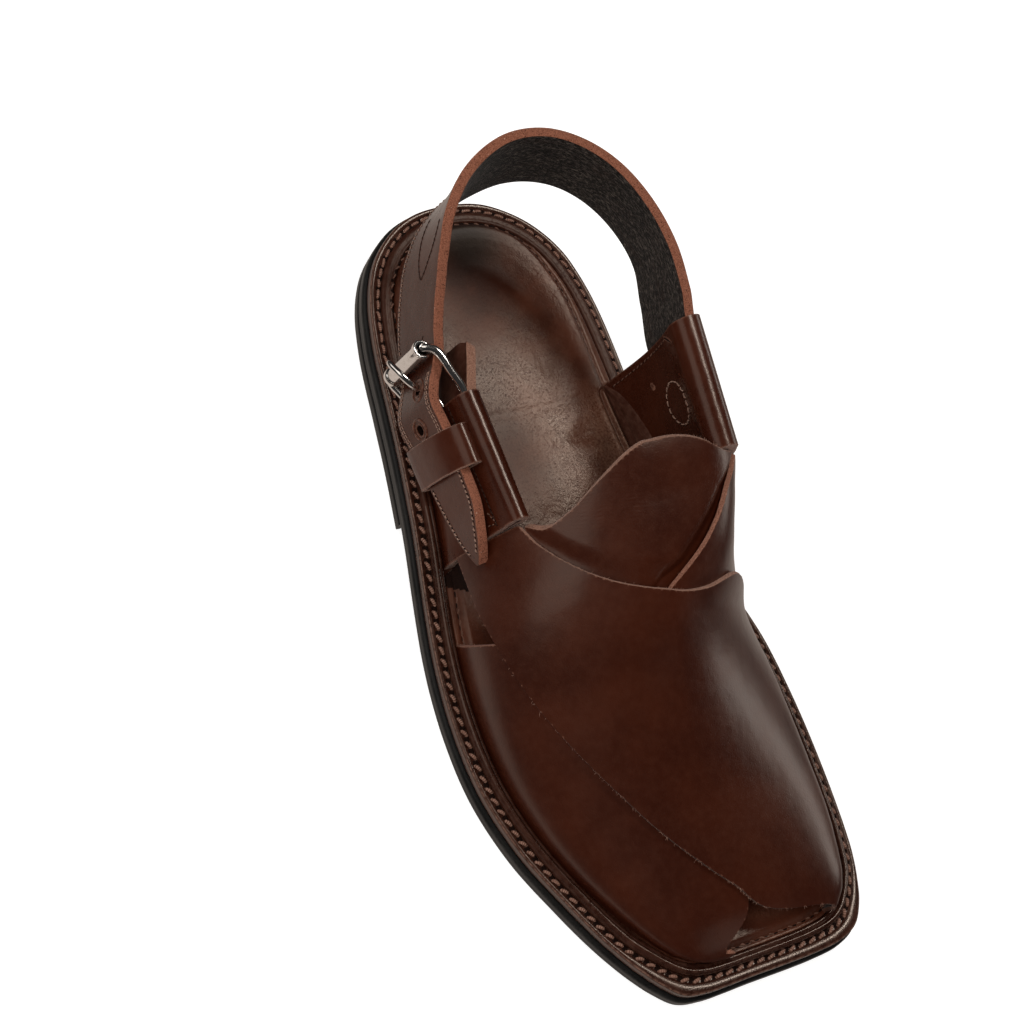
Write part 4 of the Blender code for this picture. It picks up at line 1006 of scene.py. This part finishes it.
# ---- heel strap: grain face outside, grey split side within, a coloured cut edge all round
strap = {
    # middle line from the tip: station, across, height, inward lean in degrees, half width
    "path": (
        (-10.5, -41.1, 35.2, 6, 0.7), (-14, -41.3, 35.8, 6, 3.4), (-20, -41.4, 36.5, 6, 6.8),
        (-28, -41.1, 36.9, 8, 9.2), (-36, -41.3, 36.9, 8.5, 10.1), (-46, -41.6, 36.6, 9, 10.5),
        (-56, -42.3, 36.3, 10, 10.8), (-64, -42.6, 35.9, 11, 10.9), (-70, -40.2, 36.2, 9, 10.9),
        (-75, -37.5, 36.6, 9, 11.3), (-81, -35.2, 37.5, 9, 12), (-89, -33.2, 39.4, 9, 12.5),
        (-99, -30, 43.4, 10, 12.5), (-110, -25.4, 48.8, 10, 12.5), (-120, -18.6, 54.6, 5, 12.5),
        (-128, -8, 60.4, -4, 12.5), (-131.8, 5, 64.2, -10, 12.5), (-130.4, 17, 65.8, -10, 12.5),
        (-124.4, 28, 66.4, -6, 12.5), (-114.4, 36.6, 66.6, -3, 12.5), (-101, 42.4, 66, -1, 12.5),
        (-87, 45, 64.2, -2, 12.5), (-74, 44.8, 60.2, -6, 13), (-62, 43.4, 56.6, -6, 13.2),
        (-50, 43.6, 55.4, -6, 13.2),
    ),
    "halfThick": 1.9, "sections": 460, "seamIn": 1.5,
    # holes: station, above the middle line, radius of the pressed ring round it
    "holes": ((-69.9, 3.2, 3.5), (-58.4, -0.4, 3.4)), "holeRadius": 1.7, "punch": 9,
    "ringThick": (0.52, 0.34), "ringStep": 1.35,
    # stations where the seams start and end: from the tip to the keeper, then behind it on either edge
    "tipEnd": -40, "middleStart": -53, "middleEnds": ((-1, -78), (1, -74.5)), "behind": -84,
    "arch": -104, "archLong": 20, "archHalf": 6.4, "archOver": 1.6, "nick": (-86, 4.4),
    # kind, pitch, stitch (length, thickness, tilt in degrees, rise, wander, seed),
    # hole (step, radius, depth), groove radius
    "seams": {
        "tip": ("thread", 1.7, (1.15, 0.5, 10, 0.16, 0.8, 31), (0.85, 0.42, 0.06), 0.22),
        "outer": ("thread", 1.6, (1.35, 0.34, 4, 0.12, 0.5, 33)),
        "inner": ("thread", 1.6, (1.35, 0.34, 4, 0.12, 0.5, 34)),
        "behind": ("thread", 1.6, (1.15, 0.36, 10, 0.13, 0.6, 36), (0.8, 0.26, 0.04)),
        "arch": ("dark_thread", 1.9, (1.5, 0.42, 6, 0.08, 0.5, 38), None, 0.22),
    },
}


def strapFrames(path):
    heading = unit(np.gradient(path[:, :3], axis=0))
    level = unit(heading * (1, 1, 0))
    lean = np.radians(path[:, 3])[:, None]
    rise = np.array((0, 0, 1)) * np.cos(lean) + together(level[:, 1], -level[:, 0], 0) * np.sin(lean)
    rise = unit(rise - heading * (rise * heading).sum(1)[:, None])
    return rise, np.cross(heading, rise)


strapPath = along(strap["path"], strap["sections"])
strapRise, strapIn = strapFrames(strapPath)
strapWalk = chordKnots(strapPath)


def strapSpot(walked, up, proud=0):
    # a point on the strap's outer face: how far from the tip, how far over the middle line, how far proud
    base, rise, inward = (pick(walked, strapWalk, rows) for rows in (strapPath[:, :3], strapRise, strapIn))
    rise, inward = unit(rise), unit(inward)
    return base + rise * np.asarray(up, float)[..., None] - inward * (strap["halfThick"] + proud), -inward


def strapWalkAt(station):
    # distance from the tip where the lateral run passes a station
    lateral = strapPath[: int(np.argmin(strapPath[:, 0]))]
    return float(np.interp(-station, -lateral[:, 0], strapWalk[: len(lateral)]))


def makeStrap():
    half, thick = np.maximum(strapPath[:, 4], 0.5)[:, None], strap["halfThick"]
    # section outline: share of the half width, distance inwards
    across = np.linspace(-1, 1, 17)
    outer = [(a, -thick + 0.16 * abs(a) ** 14) for a in across * 0.975]
    top = [(0.996, -thick + 0.45), (1, -thick + 1), (1, 0), (1, thick - 1), (0.996, thick - 0.45)]
    inner = [(a, thick - 0.2 * abs(a) ** 14) for a in across[::-1] * 0.975]
    share, depth = np.array(outer + top + inner + [(-a, -b) for a, b in top]).T
    kinds = [0] * 16 + [2] * 6 + [1] * 16 + [2] * 6
    rough = 0.05 * raggedness(len(half), 21)[:, None] * (abs(share) > 0.99)
    rings = strapPath[:, None, :3] + strapRise[:, None] * (share * half + rough)[..., None]
    rings = rings + strapIn[:, None] * depth[:, None]
    lays = together(strapWalk[:, None], share * half, (1 - abs(share)) * half + 0.02)
    rows, size = rings.shape[:2]
    faces = [*map(tuple, gridFaces(rows, size, False, True)), tuple(range(size))]
    faces.append(tuple(range((rows - 1) * size, rows * size)))
    piece = makePiece("heel_strap_leather", rings, faces, [strapLeather, lining, strapEdge, shadeBlack],
                      parts=kinds * (rows - 1) + [2, 2], lay=lays, replaces=["heel_strap"], sharp=35)
    punches = []
    for station, over, _ in strap["holes"]:
        spot, out = strapSpot(strapWalkAt(station), over)
        mesh = bpy.data.meshes.new("punch")
        body = bmesh.new()
        radius = strap["holeRadius"] * mm
        bmesh.ops.create_cone(body, cap_ends=True, segments=24, radius1=radius, radius2=radius,
                              depth=strap["punch"] * mm)
        turned = Vector(out).to_track_quat("Z", "Y").to_matrix().to_4x4()
        turned.translation = Vector(spot) * mm
        body.transform(turned)
        body.to_mesh(mesh)
        body.free()
        # the punched hole walls take the near-black painted shade finish
        mesh.materials.append(shadeBlack)
        punch = addObject("punch", mesh)
        cut = piece.modifiers.new("punch", "BOOLEAN")
        cut.operation, cut.object, cut.solver, cut.material_mode = "DIFFERENCE", punch, "EXACT", "TRANSFER"
        punches.append(punch)
    bpy.context.view_layer.update()
    graph = bpy.context.evaluated_depsgraph_get()
    punched = bpy.data.meshes.new_from_object(piece.evaluated_get(graph), preserve_all_data_layers=True,
                                              depsgraph=graph)
    piece.modifiers.clear()
    piece.data = punched
    for punch in punches:
        bpy.data.objects.remove(punch, do_unlink=True)


makeStrap()


class Seams:
    # the threads, grooves and awl holes of one part, each kind a piece of its own
    def __init__(self, part):
        self.part, self.kinds = part, {}

    def __getitem__(self, kind):
        return self.kinds.setdefault(kind, Bundle())

    def sew(self, face, kind, pitch, stitch, hole=None, groove=None):
        # a row of stitches along a face's points and normals, with awl holes beside it and a groove under it
        places, heading, out = surfaceRow(self[kind], *face, pitch, *stitch)
        if hole:
            step, radius, depth = hole
            addHoles(self["awl_holes"], places + heading * step, heading, out, radius, 1.2, depth)
        if groove:
            self.press(face, groove)

    def press(self, face, radius):
        # a pressed line, painted near-black as shade
        spots, normals = face
        self["grooves"].add(*tubePoints(spots - normals * radius * 0.25, radius, 6))

    def pieces(self, finishes):
        for kind, finish in finishes.items():
            self[kind].piece(self.part + "_" + kind, finish)


def edgeRun(walked, side, depth, least=0):
    # a line on the strap's face, so far in from one of its edges
    width = np.interp(walked, strapWalk, strapPath[:, 4]) - depth
    return strapSpot(walked, side * np.maximum(width, least))


def makeStrapSeams():
    seams, sewn, inset = Seams("heel_strap"), strap["seams"], strap["seamIn"]
    for side, rear in strap["middleEnds"]:
        tip = np.linspace(3.6, strapWalkAt(strap["tipEnd"]), 60)
        seams.sew(edgeRun(tip, side, inset, 0.15), *sewn["tip"])
        middle = np.linspace(strapWalkAt(strap["middleStart"]), strapWalkAt(rear), 60)
        seams.sew(edgeRun(middle, side, inset - 0.1), *sewn["outer"])
        seams.sew(edgeRun(middle, side, inset + 0.95), *sewn["inner"])
    # behind the buckle only the lower edge is sewn
    behind = np.linspace(strapWalkAt(strap["behind"]), strapWalkAt(-124) + 150, 300)
    seams.sew(strapSpot(behind, inset - 12.5), *sewn["behind"])
    # the pointed end of the strap's inner layer shows as a sewn arch
    arch = np.linspace(-1, 1, 60)
    walked = strapWalkAt(strap["arch"]) + strap["archLong"] * (1 - (1 - np.abs(arch)) ** 0.62)
    over = strap["archOver"] + strap["archHalf"] * np.sign(arch) * np.abs(arch) ** 0.8
    seams.sew(strapSpot(walked, over, -0.02), *sewn["arch"])
    # a small nick in the grain
    (station, over), nick = strap["nick"], np.linspace(-1.6, 1.6, 6)
    seams.press(strapSpot(strapWalkAt(station) + nick, over + nick * 0.5625, -0.05), 0.24)
    turn = 2 * math.pi * np.arange(40) / 40
    for station, over, radius in strap["holes"]:
        walked = strapWalkAt(station)
        for reach, thick in zip((radius, radius - strap["ringStep"]), strap["ringThick"]):
            spots, _ = strapSpot(walked + reach * 1.05 * np.cos(turn), over + reach * 0.95 * np.sin(turn),
                                 -0.1)
            seams["rings"].add(*tubePoints(spots, thick, 8, closed=True))
    seams.pieces({"thread": ringThread, "dark_thread": darkThread, "grooves": shadeBlack, "awl_holes": shadeBlack,
                  "rings": strapLeather})


makeStrapSeams()
print("heel strap made")


# ---- the two folded tabs
tabs = {
    "stations": (-62, -17), "columns": 40, "rows": 44,
    # across and height of the middle line at the rear and front edge; halves is the half thickness
    # there at foot, middle and fold, wall the sheet's thickness at the rear and front edge
    "lateral": {"rear": ((-35.2, 16.1), (-35.4, 20), (-36, 29), (-35.4, 36), (-33.4, 43.5), (-31, 48.8)),
                "front": ((-42.6, 14.6), (-42.2, 19), (-38.8, 29), (-36, 38.5), (-33.2, 45.2), (-30.8, 50)),
                "halves": ((1.9, 2.4, 4.6), (1.9, 2.2, 3.6)), "wall": (1.75, 2.6)},
    "medial": {"rear": ((34.8, 16.1), (35, 20), (39, 31), (42, 43), (43.6, 57), (43.5, 67.2)),
               "front": ((37.8, 14.6), (38, 19), (41.6, 31), (43.8, 43), (42.8, 56), (39.1, 65.6)),
               "halves": ((2, 3.2, 5.6), (2, 3.2, 5.3)), "wall": (1.5, 3.6)},
    # the medial tab's inner face, in (station, height): sewn ring, slit, stud and rear seam
    "ring": ((-40.6, 50.2), (7.4, 7)), "slit": ((-59, 61.7), (1.7, 2.3)), "stud": (-51.3, 40),
    "rearSeam": ((-60.2, 59), (-59.6, 23)),
    # the lateral tab: the seam under its fold, pressed as a painted shadow line, and the tack near its front
    # edge
    "fold": ((-61, -45, -18.5), (45.4, 45.2, 45.6)),
    "tacks": (((-24.2, 43.6), (-20, 45.6)), ((-20.2, 41.2), (-19.4, 45.2))),
    # as for the strap
    "seams": {
        "ring": ("ring_thread", 2.5, (2.1, 0.5, 4, 0.22, 1, 51), (1.2, 0.3, 0.05)),
        "rear": ("thread", 2.2, (1.5, 0.4, 8, 0.14, 1, 52), None, 0.16),
        "fold": ("dark_thread", 1.9, (1.5, 0.45, 6, 0.12, 0.8, 53), None, 0.26),
        "tack": ("thread", 1.5, (1.1, 0.42, 14, 0.15, 1, 54), (0.7, 0.36, 0.06)),
    },
    # top of the turned-in skin at the medial tab's foot: stations, heights
    "foot": ((-61.4, -56, -47, -36, -24), ((21,), (25.6,), (28.8,), (30.4,), (29,))),
}
tabRear, tabFront = tabs["stations"]


def tabLine(tab, share):
    centre, halves = (np.array(a) * (1 - share) + np.array(b) * share
                      for a, b in ((tab["rear"], tab["front"]), tab["halves"]))
    x = tabRear + (tabFront - tabRear) * share
    centre[0, 1] = lift(x) + shoe["weltTop"] + shoe["gap"]
    centre[:2, 0] = sideOfInner(x, centre[0, 0] > 0)
    line = along(np.insert(centre, 0, 0, axis=1), tabs["columns"])[:, 1:]
    heading = unit(np.gradient(line, axis=0))
    heading[0] = (0, 1)
    width = readRows(halves[:, None], (0, 0.6, 1), np.linspace(0, 1, len(line)))
    return x, line, heading, leftOf(heading), width


def tabWrap(tab, share, less=0):
    # one side of the folded sheet: up the outward side, round the fold, down the other
    x, line, heading, outward, width = tabLine(tab, share)
    width = np.maximum(width - less, 0.12)
    turn = np.radians(np.linspace(0, 180, 31)[1:-1])[:, None]
    fold = line[-1] + outward[-1] * width[-1] * np.cos(turn) + heading[-1] * width[-1] * np.sin(turn)
    return np.insert(np.concatenate([line + outward * width, fold, (line - outward * width)[::-1]]),
                     0, x, axis=1)


def makeTab(name, tab, node):
    rows, rings = tabs["rows"], []
    for share in np.linspace(0, 1, rows):
        wall = tab["wall"][0] + (tab["wall"][1] - tab["wall"][0]) * float(smoothStep(share, 0.6, 0.95))
        rings.append(np.concatenate([tabWrap(tab, share), tabWrap(tab, share, wall)[::-1]]))
    rings = np.array(rings)
    x, size = rings[..., 0], rings.shape[1]
    run = size // 2 - 1
    kinds = ([0] * run + [2] + [1] * run + [2]) * (rows - 1) + [2] * 2 * run
    faces = [*map(tuple, gridFaces(rows, size, False, True))]
    faces += [(first + j, first + j + 1, first + size - 2 - j, first + size - 1 - j)
              for first in (0, (rows - 1) * size) for j in range(run)]
    makePiece(name, rings, faces, [strapLeather, fleshSide, cutEdge], parts=kinds, replaces=[node], sharp=35,
              lay=together(x, rings[..., 2], np.minimum(abs(x - tabRear), abs(x - tabFront)) + 0.02))


makeTab("lateral_tab_leather", tabs["lateral"], "lateral_tab")
makeTab("medial_tab_leather", tabs["medial"], "medial_tab")


def tabFace(key, x, z):
    # points on the tab's lateral-facing wall at stations x and heights z, and their normals
    spots, outs = [], []
    for station, height in np.broadcast(x, z):
        share = (station - tabRear) / (tabFront - tabRear)
        _, line, _, outward, width = tabLine(tabs[key], float(np.clip(share, 0, 1)))
        face = line + outward * width
        across, *out = (np.interp(height, face[:, 1], values) for values in (face[:, 0], *outward.T))
        spots.append((station, across, height))
        outs.append((0, *out))
    return np.array(spots), unit(np.array(outs))


def makeTabSeams():
    seams, sewn = Seams("tab"), tabs["seams"]
    (x, z), (reach, rise) = tabs["ring"]
    turn = np.linspace(0, 2 * math.pi, 73)
    seams.sew(tabFace("medial", x + reach * np.cos(turn), z + rise * np.sin(turn)), *sewn["ring"])
    (x, z), (reach, rise) = tabs["slit"]
    shares = np.linspace(-1, 1, 9)
    seams.press(tabFace("medial", x + reach * shares, z + rise * shares), 0.42)
    turn = 2 * math.pi * np.arange(24) / 24
    spots, _ = tabFace("medial", x + 1.9 * np.cos(turn) - 0.45 * np.sin(turn),
                       z + 2.565 * np.cos(turn) + 0.4 * np.sin(turn))
    seams["slit_rim"].add(*tubePoints(spots, 0.28, 6, closed=True))
    seams.sew(tabFace("medial", *spread(*tabs["rearSeam"], 30)), *sewn["rear"])
    x, z = tabs["stud"]
    spot, out = tabFace("medial", (x,), z)
    addHoles(seams["slit_rim"], spot, np.array([(1, 0, 0)]), out, 1.3, 1.25, 0.3)
    stations = np.linspace(tabs["fold"][0][0], tabs["fold"][0][-1], 60)
    seams.sew(tabFace("lateral", stations, np.interp(stations, *tabs["fold"])), *sewn["fold"])
    for ends in tabs["tacks"]:
        seams.sew(tabFace("lateral", *spread(*ends, 12)), *sewn["tack"])
    seams.pieces({"thread": seamThread, "dark_thread": darkThread, "grooves": shadeBlack, "awl_holes": shadeBlack,
                  "slit_rim": footLeather, "ring_thread": ringThread})


def makeTabFoot():
    # the thinner skin that turns in over the bed at the medial tab's foot, creased where it is pulled in
    knots, heights = tabs["foot"]
    xs = np.linspace(knots[0], knots[-1], 90)
    low, high = lift(xs) + shoe["weltTop"] + 0.8, readRows(heights, knots, xs)[:, 0]
    top, normals = [], []
    for share in np.linspace(0, 1, 34):
        crease = 0.1 * np.sin(share * 21 + 0.9 * np.sin(xs * 0.31) + xs * 0.12)
        crease += 0.05 * np.sin(share * 43 + xs * 0.5)
        spots, out = tabFace("medial", xs, low + (high - low) * share)
        sunk = 0.32 - 0.5 * smoothStep(share, 0.8, 1) + crease * (1 - smoothStep(share, 0.7, 1))
        top.append(spots + out * sunk[:, None])
        normals.append(out)
    top, normals = np.stack(top, axis=1), np.stack(normals, axis=1)
    leatherSheet("medial_tab_foot", top, gridNormals(top, normals), 0.5,
                 [footLeather, fleshSide, footLeather], ragged=0.03, seed=57)


makeTabSeams()
makeTabFoot()
print("tabs made")


# ---- keeper: a leather loop round strap and tab side
keeper = {
    # across and height of the loop's middle line
    "loop": ((-46.2, 28), (-45.4, 36), (-43.9, 42.4), (-42, 46.8), (-39.8, 49.8), (-37.4, 50.9),
             (-35.2, 49.2), (-36.2, 46), (-38.4, 36.6), (-40.2, 27.6), (-41, 24.9), (-43.5, 23.9),
             (-45.9, 24.9)),
    "stations": (-54.2, -40.3), "half": 0.85, "lean": 0.1, "middle": 37,
}


def makeKeeper():
    line = closedLine([(0, *point) for point in keeper["loop"]], 90)[:, 1:]
    outward = leftOf(unit(np.roll(line, -1, axis=0) - np.roll(line, 1, axis=0)))
    half, (rear, front) = keeper["half"], keeper["stations"]
    # across the band: share of its width, how far out
    share, reach = np.array((
        (0.012, half), (0.1, half + 0.02), (0.5, half + 0.12), (0.9, half + 0.02), (0.988, half),
        (1, half - 0.25), (1.004, 0), (1, 0.25 - half), (0.985, -half), (0.5, -half), (0.015, -half),
        (0, 0.25 - half), (-0.004, 0), (0, half - 0.25))).T
    rough = 0.05 * raggedness(len(line), 61)[:, None] * (share > 0.98)
    across, height = (line[:, None] + outward[:, None] * reach[:, None]).T.swapaxes(1, 2)
    x = rear + (front - rear) * share + keeper["lean"] * (line[:, 1:] - keeper["middle"]) + rough
    lay = together(np.arange(len(line))[:, None] * 1.1, share * 14, np.minimum(share, 1 - share) * 14.5)
    kinds = [0] * 4 + [2] * 4 + [1] * 2 + [2] * 4
    makePiece("keeper_leather", together(x, across, height), gridFaces(len(line), len(share), True, True),
              [strapLeather, fleshSide, cutEdge], parts=kinds * len(line), lay=lay, replaces=["keeper"],
              sharp=35)


makeKeeper()


# ---- chape: the tongue behind the buckle
chape = {
    # station, half height, how far off the tab's line
    "sections": ((-79.2, 4.5, 8.3), (-78.6, 8.6, 8.1), (-77.4, 11.3, 7.6), (-75.5, 12.3, 6.8),
                 (-72, 12.6, 5.4), (-66, 12.7, 2.9), (-61, 12.7, 1), (-58, 12.4, 0.2)),
    "middle": 37.6, "thick": 3.1, "off": 2,
}


def makeChape():
    line, sections = np.array(tabs["lateral"]["rear"]), np.array(chape["sections"])
    x, half, away = readRows(sections, sections[:, 0], np.linspace(-79.2, -58, 40)).T[..., None]
    heights = chape["middle"] + half * np.linspace(-1, 1, 26)
    top = together(x, np.interp(heights, line[:, 1], line[:, 0]) + away + chape["off"], heights)
    leatherSheet("chape_leather", top, gridNormals(top, np.array((0, 1, 0))), chape["thick"],
                 [fleshSide, footLeather, cutEdge], ["chape"], 0.06, 71)


makeChape()
print("keeper and chape made")


# ---- buckle: bent wire frame, turned roller and prong
buckle = {
    "frame": ((-80.6, -39, 50), (-79.2, -36.6, 51), (-76.2, -34.9, 51.2), (-70.8, -33.4, 50.6),
              (-64.4, -31.2, 49.4), (-60.6, -31.4, 47.8), (-59.8, -32.6, 44.6), (-59.8, -34.6, 38.6),
              (-59.8, -35.8, 32), (-60.6, -36.4, 28.4), (-64, -37.4, 26.4), (-70, -38.8, 25.4),
              (-76, -41, 24.8), (-79.4, -42.4, 24.8), (-80.6, -42.6, 25.8)),
    "prong": ((-61.6, -34.8, 37.6), (-65.2, -35, 37.4), (-67.8, -36.6, 37.9), (-69.4, -39, 38.9),
              (-70.5, -41.4, 40.4), (-72.5, -44.6, 42.6), (-75.7, -46.6, 42.9), (-79, -47.5, 41.6),
              (-82.2, -48, 40.2)),
    "wire": 1.4, "prongWire": 1.15, "roller": 2.9, "bore": 1.9,
    # the roller's rolled end: distance from the end, radius over the roller's
    "end": ((0.85, -0.25), (0.9, 0.15), (1.05, 0.35), (1.4, 0.42), (2.3, 0.42), (2.6, 0.3), (2.75, 0.02),
            (2.9, -0.2), (3.3, -0.22)),
}


def wirePiece(name, line, radius, closed, node):
    points, faces = tubePoints(line, radius, 18, closed=closed)
    lay = together(chordKnots(line)[:, None], np.arange(18) * 0.5, 9)
    makePiece(name, points, faces, [nickel], lay=lay, replaces=[node], sharp=40)


def makeBuckle():
    wirePiece("buckle_wire", closedLine(buckle["frame"], 150), buckle["wire"], True, "buckle_frame")
    radius = np.full(60, buckle["prongWire"])
    radius[:2], radius[-4:] = (0.7, 0.95), (1.08, 1, 0.82, 0.5)
    wirePiece("buckle_tongue", along(buckle["prong"], 60), radius, False, "buckle_prong")
    foot, top = np.array(buckle["frame"][-1]), np.array(buckle["frame"][0])
    length = np.linalg.norm(top - foot)
    axis = (top - foot) / length
    side = unit(np.cross(axis, (0, 1, 0)))
    big, bore = buckle["roller"], buckle["bore"]
    end = [(at, big + over) for at, over in buckle["end"]]
    inside = [(0.95, big - 0.5), (1.1, bore + 0.1), (1.5, bore)]
    farEnd = [(length - at, radius) for at, radius in end[::-1] + inside]
    profile = end + [(length / 2, big - 0.18)] + farEnd + inside[::-1]
    at, radius = np.array(profile).T[..., None]
    turn = 2 * math.pi * np.arange(48)[:, None, None] / 48
    rings = foot + axis * at + (side * np.cos(turn) + np.cross(axis, side) * np.sin(turn)) * radius
    makePiece("buckle_tube", rings, gridFaces(48, len(profile), True, True), [nickel],
              lay=together(at[:, 0], np.arange(48)[:, None] * 0.4, 9), replaces=["buckle_roller"], sharp=38)


makeBuckle()
print("buckle made")


# ---- floor, lights and camera
studio = {
    "floor": (0.55, 0.55, 0.55), "floorGlow": 0.8, "floorRadius": 6, "floorSunk": 0.0004,
    # reflections see a soft glow from below, where the floor is bright beside the shoe, and a dark room above
    "world": 0.025, "below": (0.6, 0.52, 0.46), "horizon": (0.22, 0.6),
    "warmth": (1, 0.95, 0.89), "aim": (0, 0, 0.03),
    # light: place in metres, width, height, watts, whether it shows in reflections
    "lights": {
        "overhead": ((-0.45, 0.64, 1.39), 0.34, 0.34, 7.6, True),
        "lateralRear": ((-0.67, -0.99, 0.99), 1.3, 1, 5.4, True),
        "medialLow": ((0, 1.47, 0.2), 0.9, 0.34, 3, True),
        "toe": ((1.28, 0.48, 0.72), 0.4, 0.4, 0.4, True),
        "fill": ((0.35, -0.69, 1.41), 1.4, 1.4, 15, False),
    },
    "azimuth": 27, "elevation": 61, "roll": 44, "distance": 0.975, "lens": 101.95,
    "target": (-0.03307, -0.00707, 0),
}


def makeLights():
    for name, (place, width, height, watts, mirrored) in studio["lights"].items():
        light = bpy.data.lights.new(name, "AREA")
        light.shape, light.size, light.size_y, light.energy = "RECTANGLE", width, height, watts
        light.color = studio["warmth"]
        box = addObject(name, light)
        box.location, box.rotation_mode = place, "QUATERNION"
        box.rotation_quaternion = (Vector(place) - Vector(studio["aim"])).to_track_quat("Z", "Y")
        box.visible_glossy, box.visible_camera = mirrored, False


def makeFloor():
    mesh = bpy.data.meshes.new("studio_floor")
    body = bmesh.new()
    bmesh.ops.create_circle(body, cap_ends=True, segments=96, radius=studio["floorRadius"])
    body.to_mesh(mesh)
    body.free()
    floor = addObject("studio_floor", mesh)
    floor.location.z = -studio["floorSunk"]
    floor.visible_glossy = False
    paper = Finish("paperFloor", Base_Color=studio["floor"], Roughness=0.9, Specular_IOR_Level=0.1,
                   Emission_Color=(1, 1, 1), Emission_Strength=studio["floorGlow"])
    mesh.materials.append(paper.material)


def makeSky():
    world = bpy.data.worlds.new("studio")
    world.use_nodes = True
    sky = Finish.__new__(Finish)
    sky.tree = world.node_tree
    toward = sky.node("TexCoord", None, None, "Generated")
    depth = sky.node("SeparateXYZ", None, {"Vector": toward}, "Z") * -1
    glow = sky.blend(depth.eased(*studio["horizon"]), (studio["world"],) * 3, studio["below"])
    sky.plug(sky.tree.nodes["Background"].inputs["Color"], glow)
    bpy.context.scene.world = world
    bpy.context.scene.view_settings.view_transform = "Standard"


def makeCamera():
    azimuth, elevation, roll = (math.radians(studio[k]) for k in ("azimuth", "elevation", "roll"))
    flat = math.cos(elevation)
    back = Vector((math.sin(azimuth) * flat, -math.cos(azimuth) * flat, math.sin(elevation)))
    right = Vector((math.cos(azimuth), math.sin(azimuth), 0))
    up = back.cross(right)
    turnedRight = right * math.cos(roll) + up * math.sin(roll)
    turnedUp = up * math.cos(roll) - right * math.sin(roll)
    lens = bpy.data.cameras.new("camera")
    lens.lens, lens.sensor_width, lens.clip_start, lens.clip_end = studio["lens"], 36, 0.01, 50
    placed = Matrix((turnedRight, turnedUp, back)).transposed().to_4x4()
    placed.translation = Vector(studio["target"]) + back * studio["distance"]
    bpy.context.scene.camera = addObject("camera", lens)
    bpy.context.scene.camera.matrix_world = placed


makeFloor()
makeLights()
makeSky()
makeCamera()
